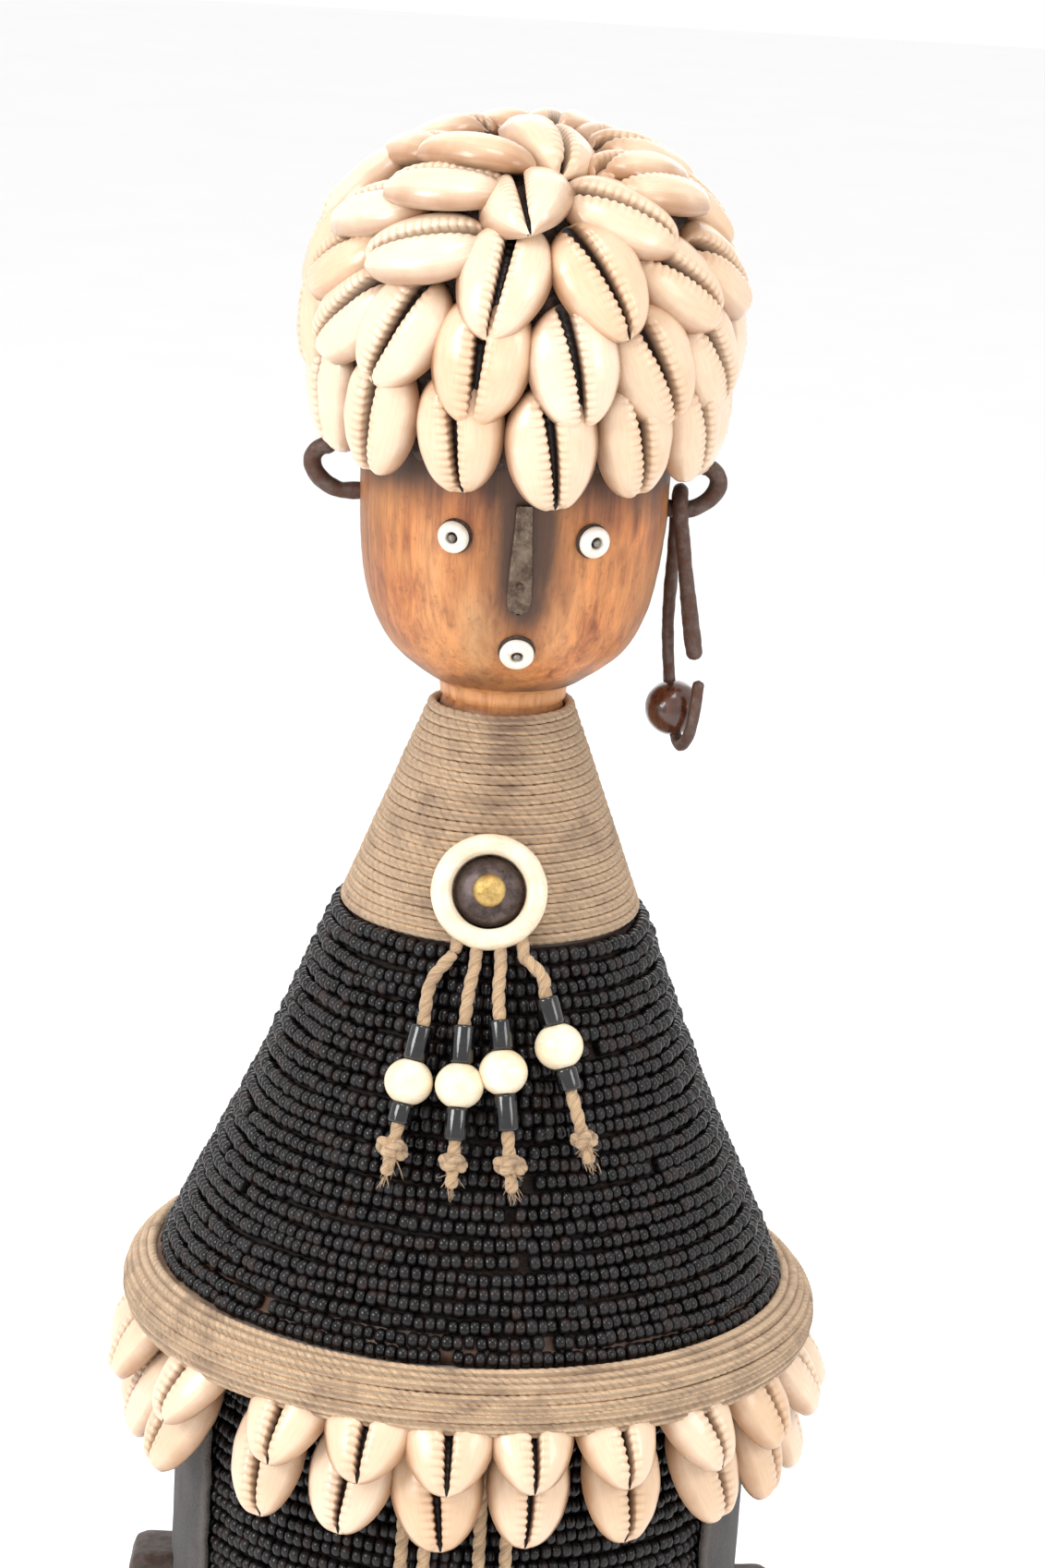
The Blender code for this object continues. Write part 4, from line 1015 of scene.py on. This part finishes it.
def winding(outline, pitch, wobble, seed, step):
    """Helix laid turn beside turn up an outline of (radius, height)."""
    outline = resample(outline, OUTLINE_STEP)
    turns = path_length(outline) / pitch
    count = int(turns * TAU * outline[:, 0].mean() / step)
    share = np.linspace(0.0, 1.0, count)
    theta = share * turns * TAU + math.pi
    r, z = outline_at(outline, share * (len(outline) - 1) * 0.999)
    local = np.random.default_rng(seed)
    for k in (2, 3, 5, 9):
        phase = local.uniform(0, TAU)
        z = z + wobble / k * np.sin(k * theta + phase + share * 19)
        r = r + wobble * 0.4 / k * np.sin(k * theta * 1.3 + phase)
    return around(theta) * r[:, None] + UP * z[:, None], around(theta)


def build_twine():
    low, high = WAIST_Z + 0.9, NECK_Z - 0.9
    radius = [NECK_R - 0.8 + (WAIST_R - NECK_R + 0.8) * (NECK_Z - 0.2 - z) / (NECK_Z - 0.2 - WAIST_Z)
              + GAP + TWINE_D / 2 for z in (low, high)]
    path, out = winding(((radius[0], low), (radius[1], high)), 1.48, 0.10, 7, 0.42)
    verts, quads, strand = sweep(path, 0.80, 10, out, plies=2, depth=0.20, lay=3.4)
    theta = np.arctan2(verts[:, 0], -verts[:, 1])
    shade = streak(theta, 0.1, 0.32, verts[:, 2], (176, 186, 198), (0.0, 0.55, 0.9))
    shade = np.clip(shade + waves(verts, 7.0, 9) * 0.16, 0, 1)
    piece("neck_twine_winding", verts, quads, LOOKS["twine"], nodes=("neck_twine",),
          slot="plant_twine", strand=strand, shade=shade)


def build_band():
    outline = smooth_curve(((51.0, 99.9), (52.1, 101.2), (52.6, 103.0), (52.35, 104.9), (51.4, 106.6),
                            (49.9, 107.9), (48.0, 108.8)), 6)
    path, out = winding(outline, 1.42, 0.20, 12, 0.5)
    verts, quads, strand = sweep(path, 0.84, 10, out, plies=3, depth=0.24, lay=4.4)
    shade = np.clip(waves(verts, 10.0, 14) * 0.25 + waves(verts, 3.0, 15) * 0.2, 0, 1)
    # backing: a dark sheet inside the winding, given shade 0.9 so the gaps between the turns show painted
    # shade
    backing = lathe(((50.4, 99.9), (51.9, 102.9), (51.2, 106.1), (48.2, 107.9), (45.6, 108.5),
                     (45.6, 107.6), (49.6, 105.7), (50.6, 102.7), (50.2, 99.9), (50.4, 99.9)), 120)
    verts, quads, strand, shade = merge([
        (verts, quads, strand, shade),
        (*backing, np.zeros((len(backing[0]), 3)), np.full(len(backing[0]), 0.9))])
    piece("rope_band_winding", verts, quads, LOOKS["twine"], nodes=("rope_band",), slot="plant_twine",
          strand=strand, shade=shade)


def seed_template():
    """A small barrel about the X axis."""
    profile = np.array(((-0.80, 0.30), (-0.78, 0.78), (-0.52, 1.13), (0.0, 1.23), (0.52, 1.13),
                        (0.78, 0.78), (0.80, 0.30)))
    angle = np.arange(11) / 11 * TAU
    x, r = profile[:, :1], profile[:, 1:]
    verts = np.stack(np.broadcast_arrays(x, r * np.cos(angle), r * np.sin(angle)), -1).reshape(-1, 3)
    return verts, grid_quads(len(profile), 11)


def seed_rows(name, outline, node, seed):
    """Strings of seed beads wound round an outline whose points are bead centres."""
    local = np.random.default_rng(seed)
    outline = resample(outline, OUTLINE_STEP)
    length = path_length(outline)
    rows = int(round(length / BEAD_ROW_PITCH))
    turns, moves, tones = [], [], []
    for row in range(rows):
        middle = (row + 0.5) * length / rows / OUTLINE_STEP
        radius = outline_at(outline, middle)[0]
        count = int(TAU * radius / BEAD_SPACING)
        theta = (np.arange(count) + local.uniform(0, 1)) / count * TAU
        theta = theta + local.normal(size=count) * 0.10 / radius
        phase = local.uniform(0, TAU, 3)
        shift = 0.16 * np.sin(2 * theta + phase[0]) + 0.12 * np.sin(5 * theta + phase[1] + row)
        shift = shift + 0.07 * np.sin(11 * theta + phase[2]) + local.normal(size=count) * 0.09
        at = np.clip(middle + shift / OUTLINE_STEP, 1, len(outline) - 2)
        r, z = outline_at(outline, at)
        r = r + local.normal(size=count) * 0.08
        k = at.astype(int)
        rise = unit(outline[np.minimum(k + 3, len(outline) - 1)] - outline[np.maximum(k - 3, 0)])
        out = around(theta)
        y = out * rise[:, :1] + UP * rise[:, 1:]
        x = np.cross(UP, out)
        skew = local.normal(size=(count, 1)) * 0.09
        x = unit(x + y * skew)
        size = local.normal(1.0, 0.055, (count, 1, 1))
        turn = np.stack((x, unit(np.cross(np.cross(x, y), x)), np.cross(x, y)), -1) * size
        keep = local.uniform(size=count) > 0.012
        turns.append(turn[keep])
        moves.append((out * r[:, None] + UP * z[:, None])[keep])
        tones.append(local.uniform(0, 1, count)[keep])
    template, quads = seed_template()
    verts, faces = replicate(template, quads, np.concatenate(turns), np.concatenate(moves))
    own = np.repeat(np.concatenate(tones), len(template))
    piece(name, verts, faces, LOOKS["seed"], nodes=(node,), slot="black_seed_beads", own=own)
    # sleeve: a dark surface behind the bead rows, standing for the thread and for the shade in the gaps
    # between rows
    sleeve = outline - np.array((0.85, 0.0))
    piece(name + "_thread", *lathe(sleeve, 120), LOOKS["thread"], slot="black_seed_beads")


def build_seeds():
    chest = CHEST_PROFILE - np.array((SEED_D / 2, 0.0))
    chest[0] += (-0.25, 0.8)
    chest[-1] += (0.35, -2.6)
    seed_rows("chest_seed_beads", chest, "bead_wrap_chest", 31)
    r = DRUM_R + GAP + SEED_D / 2
    seed_rows("drum_seed_beads", ((r, DRUM_TOP_Z - 1.6), (r, ARM_TOP_Z + 1.4)), "bead_wrap_drum", 32)


build_twine()
build_band()
build_seeds()


# ---- leather side panels ----------------------------------------------------------------------
LEATHER_TOP_Z, LEATHER_LOW_Z = 95.6, 51.0
LEATHER_HALF_ANGLE, LEATHER_MM_PER_DEGREE, LEATHER_THICKNESS = 30.0, 0.77, 0.95


def build_panel(name, side):
    """A leather panel curved round the drum, notched for the arm."""
    inner_r = DRUM_R + GAP + SEED_D + GAP
    rows, cols = 60, 56
    levels = np.linspace(LEATHER_TOP_Z, LEATHER_LOW_Z, rows)
    degrees = np.linspace(-LEATHER_HALF_ANGLE, LEATHER_HALF_ANGLE, cols)
    angle = np.radians(degrees)[None, :] + (math.pi if side < 0 else 0.0)
    z = np.broadcast_to(levels[:, None], (rows, cols)).copy()
    edge = np.sin(levels * 0.9) * 0.25 + np.sin(levels * 2.3) * 0.12
    angle = angle + np.radians(edge[:, None] * np.linspace(-1, 1, cols)[None, :])
    layers = []
    for radius in (inner_r, inner_r + LEATHER_THICKNESS):
        flat = np.stack((radius * np.cos(angle), radius * np.sin(angle), z), -1).reshape(-1, 3)
        ripple = waves(flat, 14.0, 40 + side) * 0.12 + waves(flat, 3.0, 41) * 0.04
        out = unit(flat * (1.0, 1.0, 0.0))
        layers.append(flat + out * (ripple + 0.12)[:, None])
    verts = np.concatenate(layers)
    cell_z = (levels[:-1] + levels[1:])[:, None] / 2
    cell_a = (degrees[:-1] + degrees[1:])[None, :] / 2
    keep = ~((cell_z < ARM_TOP_Z + 0.7) & (np.abs(cell_a) < 10.0))
    i, j = np.nonzero(keep)
    corner = i * cols + j
    face = np.stack((corner, corner + 1, corner + 1 + cols, corner + cols), -1)
    layer = rows * cols
    quads = [face[:, ::-1], face + layer]
    padded = np.pad(keep, 1)
    for k, (di, dj) in enumerate(((-1, 0), (0, 1), (1, 0), (0, -1))):
        open_side = ~padded[i + 1 + di, j + 1 + dj]
        p, q = face[open_side, k], face[open_side, (k + 1) % 4]
        quads.append(np.stack((p, q, q + layer, p + layer), -1))
    spread = ((LEATHER_HALF_ANGLE - np.abs(degrees)) * LEATHER_MM_PER_DEGREE)[None, :]
    ends = np.minimum(LEATHER_TOP_Z - levels, levels - LEATHER_LOW_Z)[:, None]
    worn = np.clip(1.2 - np.minimum(spread, ends) / 1.1, 0, 1)
    piece(name + "_hide", verts, np.concatenate(quads), LOOKS["leather"], nodes=(name,),
          slot="dark_leather", worn=np.tile(worn.ravel(), 2))


build_panel("side_leather_left", 1)
build_panel("side_leather_right", -1)


# ---- face -------------------------------------------------------------------------------------
def turned_piece(name, outline, centre, outward, look, slot, segments, unevenness, seed):
    verts, quads = lathe(outline, segments)
    verts = verts * (1 + waves(verts, 4.0, seed) * unevenness)[:, None]
    piece(name + "_fine", placed(verts, outward, centre), quads, LOOKS[look], nodes=(name,), slot=slot)


def rounded(points):
    return smooth_curve(points, 4)


def build_face():
    features = (("eye_left", FACE_YAW + EYE_YAW, EYE_Z, 2.35), ("mouth", FACE_YAW, MOUTH_Z, 2.5),
                ("eye_right", FACE_YAW - EYE_YAW, EYE_Z, 2.35))
    for seed, (name, yaw, height, radius) in enumerate(features):
        seat, outward = face_point(yaw, height, GAP + 0.2)
        ring = rounded(((0.86, 0.1), (0.86, 1.1), (1.15, 1.5), (1.6, 1.62), (radius - 0.3, 1.35),
                        (radius, 0.85), (radius - 0.05, 0.25), (radius - 0.4, 0.0), (0.95, 0.0)))
        # halo: a thin dark ring of the pitch material round each face bead
        halo = lathe(rounded(((radius - 0.6, -0.2), (radius - 0.6, 0.2), (radius + 0.1, 0.2),
                              (radius + 0.24, 0.0), (radius + 0.2, -0.3))), 48)
        piece(name + "_dark_ring", placed(halo[0], outward, seat - outward * 0.15), halo[1],
              LOOKS["pitch"], slot="dark_pitch")
        turned_piece(name + "_bead", ring, seat, outward, "eye", "white_face_bead", 72, 0.012, seed)
        seat, outward = face_point(yaw, height, 0.0)
        pin = rounded(((0.01, -3.2), (0.5, -3.1), (0.56, -2.6), (0.56, 1.5), (0.5, 1.95), (0.3, 2.15),
                       (0.01, 2.2)))
        turned_piece(name + "_pin", pin, seat, outward, "pin", "grey_pin", 32, 0.03, seed + 5)
    rows = 72
    heights = NOSE_LOW_Z + (NOSE_TOP_Z - NOSE_LOW_Z) * (np.linspace(0, 1, rows) ** 1.25)
    half = np.interp(heights, (215.5, 215.9, 216.6, 218.0, 222.0, 227.0, 232.0),
                     (0.5, 1.2, 1.65, 1.85, 1.7, 1.4, 1.2))
    section = np.array(((-1.0, 0.30), (-1.0, 0.80), (-0.86, 1.15), (-0.62, 1.22), (-0.40, 0.98), (0.0, 0.84),
                        (0.40, 0.98), (0.62, 1.22), (0.86, 1.15), (1.0, 0.80), (1.0, 0.30), (0.0, 0.22)))
    base = profile_radius(HEAD_PROFILE, heights)[:, None]
    lift = section[None, :, 1] * np.interp(heights, (215.5, 216.1), (0.7, 1.0))[:, None]
    yaw = FACE_YAW - math.radians(0.8) + section[None, :, 0] * half[:, None] / base
    radius = base + lift
    verts = np.stack(np.broadcast_arrays(radius * np.sin(yaw), -radius * np.cos(yaw), heights[:, None]),
                     -1).reshape(-1, 3)
    verts = verts + around(FACE_YAW) * (waves(verts, 3.0, 17) * 0.05)[:, None]
    quads = grid_quads(rows, len(section))
    caps = [np.array([[k, k + 1, 10 - k, 11 - k]]) + off for k in range(5) for off in (0, (rows - 1) * 12)]
    piece("nose_strip_bent", verts, np.concatenate([quads] + caps), LOOKS["nose"],
          nodes=("nose_strip",), slot="worn_nose_metal")
    seat, outward = face_point(FACE_YAW - math.radians(0.8), 220.1, 1.0)
    turned_piece("nose_nail", rounded(((0.01, 0.0), (0.42, 0.02), (0.45, 0.2), (0.3, 0.4), (0.01, 0.45))),
                 seat, outward, "iron", "grey_pin", 32, 0.05, 9)


build_face()


# ---- ears and the long earring ----------------------------------------------------------------
def build_hoop(name, side):
    route = ((20.2, HOOP_Z), (22.8, HOOP_Z), (26.0, HOOP_Z), (28.6, 229.2), (30.0, 231.2),
             (29.9, 233.0), (28.6, 234.2), (26.6, 234.4))
    path = resample(smooth_curve([(side * x, 0.0, z) for x, z in route], 8), 0.3)
    radius = HOOP_WIRE_R + waves(path, 3.0, 60 + side) * 0.05
    verts, quads, _ = sweep(path, radius, 20, (0.0, 1.0, 0.0))
    verts = verts + unit(verts - verts.mean(0)) * (waves(verts, 1.6, 61) * 0.03)[:, None]
    piece(name + "_wire", verts, quads, LOOKS["iron"], nodes=(name,), slot="rusty_iron_wire")


def build_earring():
    pivot = np.array((EARRING_X, 0.0, HOOP_Z))
    hang = np.array(Matrix.Rotation(EARRING_HANG, 3, "X"))
    fold_r = HOOP_WIRE_R + GAP + 1.1
    route = [(28.4, -1.6, 205.0), (27.3, -1.9, 211.2), (25.9, -2.4, 219.8)]
    for degrees in (0, 45, 90, 135, 180):
        angle = math.radians(degrees)
        route.append((EARRING_X + 0.1 - degrees / 900.0, -fold_r * math.cos(angle),
                      HOOP_Z + fold_r * math.sin(angle)))
    route += [(24.2, 2.2, 219.2), (24.1, 1.6, 209.6)]
    route += [tuple(BEAD_CENTRE + BEAD_AXIS * d) for d in (4.6, 1.5, -1.5, -4.4)]
    route += [(27.1, -3.9, 192.3), (28.1, -5.4, 194.5), (28.7, -5.5, 198.1), (29.1, -4.1, 202.7)]
    path = resample(smooth_curve(route, 8), 0.35)
    path = (path - pivot) @ hang.T + pivot
    share = np.linspace(0, 1, len(path))
    radius = np.interp(share, (0.0, 0.10, 0.16, 0.42, 0.5, 1.0), (1.25, 1.25, 1.12, 1.1, 0.95, 0.9))
    radius = radius + waves(path, 4.0, 70) * 0.04
    wide = np.interp(share, (0.0, 0.02, 0.3, 0.4), (0.8, 1.12, 1.1, 1.0))
    side = np.column_stack((wide, 0 * wide, 0 * wide))
    verts, quads, _ = sweep(path, radius, 20, side / np.linalg.norm(side, axis=1)[:, None])
    verts = verts + unit(waves(verts, 1.4, 71)[:, None] * (0.5, 0.4, 0.7) + 1e-6) * 0.03
    piece("earring_wire_bent", verts, quads, LOOKS["iron"], "earring", ("earring_wire",),
          "rusty_iron_wire")
    round_bead("earring_bead", EARRING_BEAD_R, 1.2, hang @ (BEAD_CENTRE - pivot) + pivot,
               hang @ BEAD_AXIS, "earring_bead", "dark_bead", "dark_wooden_bead")


build_hoop("ear_hoop_left", 1)
build_hoop("ear_hoop_right", -1)
build_earring()


# ---- medallion --------------------------------------------------------------------------------
def build_medallion():
    outward = np.array((0.0, -math.cos(MEDALLION_TILT), math.sin(MEDALLION_TILT)))
    centre = np.array(MEDALLION_CENTRE)
    ring = rounded(((5.5, 0.3), (5.5, 1.6), (5.75, 2.1), (6.3, 2.5), (7.2, 2.55), (8.0, 2.2), (8.5, 1.5),
                    (8.6, 0.8), (8.3, 0.2), (7.6, 0.0), (5.7, 0.0)))
    dome = rounded(((1.15, 0.1), (1.15, 3.5), (1.3, 3.7), (2.2, 3.5), (3.2, 3.1), (4.1, 2.5), (4.8, 1.7),
                    (5.15, 0.9), (5.2, 0.3), (5.0, 0.0), (1.3, 0.0)))
    stud = rounded(((0.01, 0.2), (0.75, 0.25), (0.8, 3.7), (0.95, 3.8), (2.3, 3.8), (2.4, 4.0),
                    (2.1, 4.5), (1.4, 4.95), (0.6, 5.15), (0.01, 5.2)))
    turned_piece("medallion_ring", ring, centre, outward, "ivory", "ivory_ring", 128, 0.004, 81)
    turned_piece("medallion_dome", dome, centre, outward, "gun", "gunmetal_dome", 96, 0.004, 82)
    turned_piece("medallion_stud", stud, centre, outward, "brass", "brass_stud", 64, 0.01, 83)


build_medallion()


# ---- floor, light and sky ---------------------------------------------------------------------
def build_studio():
    floor_look = Look("studio_floor")
    grain = floor_look.noise(0.02, 3.0)
    floor_look.colour = floor_look.span(grain, 0.0, 1.0, 0.93, 0.97)
    floor_look.done(0.9)
    cells = 24
    span = np.linspace(-2500.0, 2500.0, cells)
    x, y = np.meshgrid(span, span, indexing="ij")
    verts = np.stack((x, y, np.full_like(x, -0.4)), -1).reshape(-1, 3)
    mesh = bpy.data.meshes.new("studio_floor")
    mesh.from_pydata([tuple(v * MM) for v in verts], [],
                     [tuple(int(k) for k in q) for q in grid_quads(cells, cells, wrap_cols=False)])
    mesh.materials.append(floor_look.mat)
    floor = bpy.data.objects.new("studio_floor", mesh)
    bpy.context.scene.collection.objects.link(floor)

    world = bpy.data.worlds.new("studio")
    world.use_nodes = True
    background = world.node_tree.nodes["Background"]
    background.inputs["Color"].default_value = (1.0, 1.0, 1.0, 1.0)
    background.inputs["Strength"].default_value = 1.0
    bpy.context.scene.world = world
    softboxes = (
        # place, size, power, all aimed at the chest
        ((-620.0, -520.0, 520.0), 360.0, 4.0),
        ((640.0, -480.0, 480.0), 300.0, 1.5),
        ((0.0, -300.0, 900.0), 260.0, 1.6),
        ((0.0, 700.0, 500.0), 700.0, 1.5),
    )
    target = np.array((0.0, 0.0, 170.0))
    for number, (place, size, power) in enumerate(softboxes):
        data = bpy.data.lights.new("softbox_%d" % number, "AREA")
        data.size = size * MM
        data.energy = power
        light = bpy.data.objects.new("softbox_%d" % number, data)
        light.matrix_world = world_pose(turned_to(np.array(place) - target), place)
        bpy.context.scene.collection.objects.link(light)
    bpy.context.scene.view_settings.view_transform = "Standard"


build_studio()
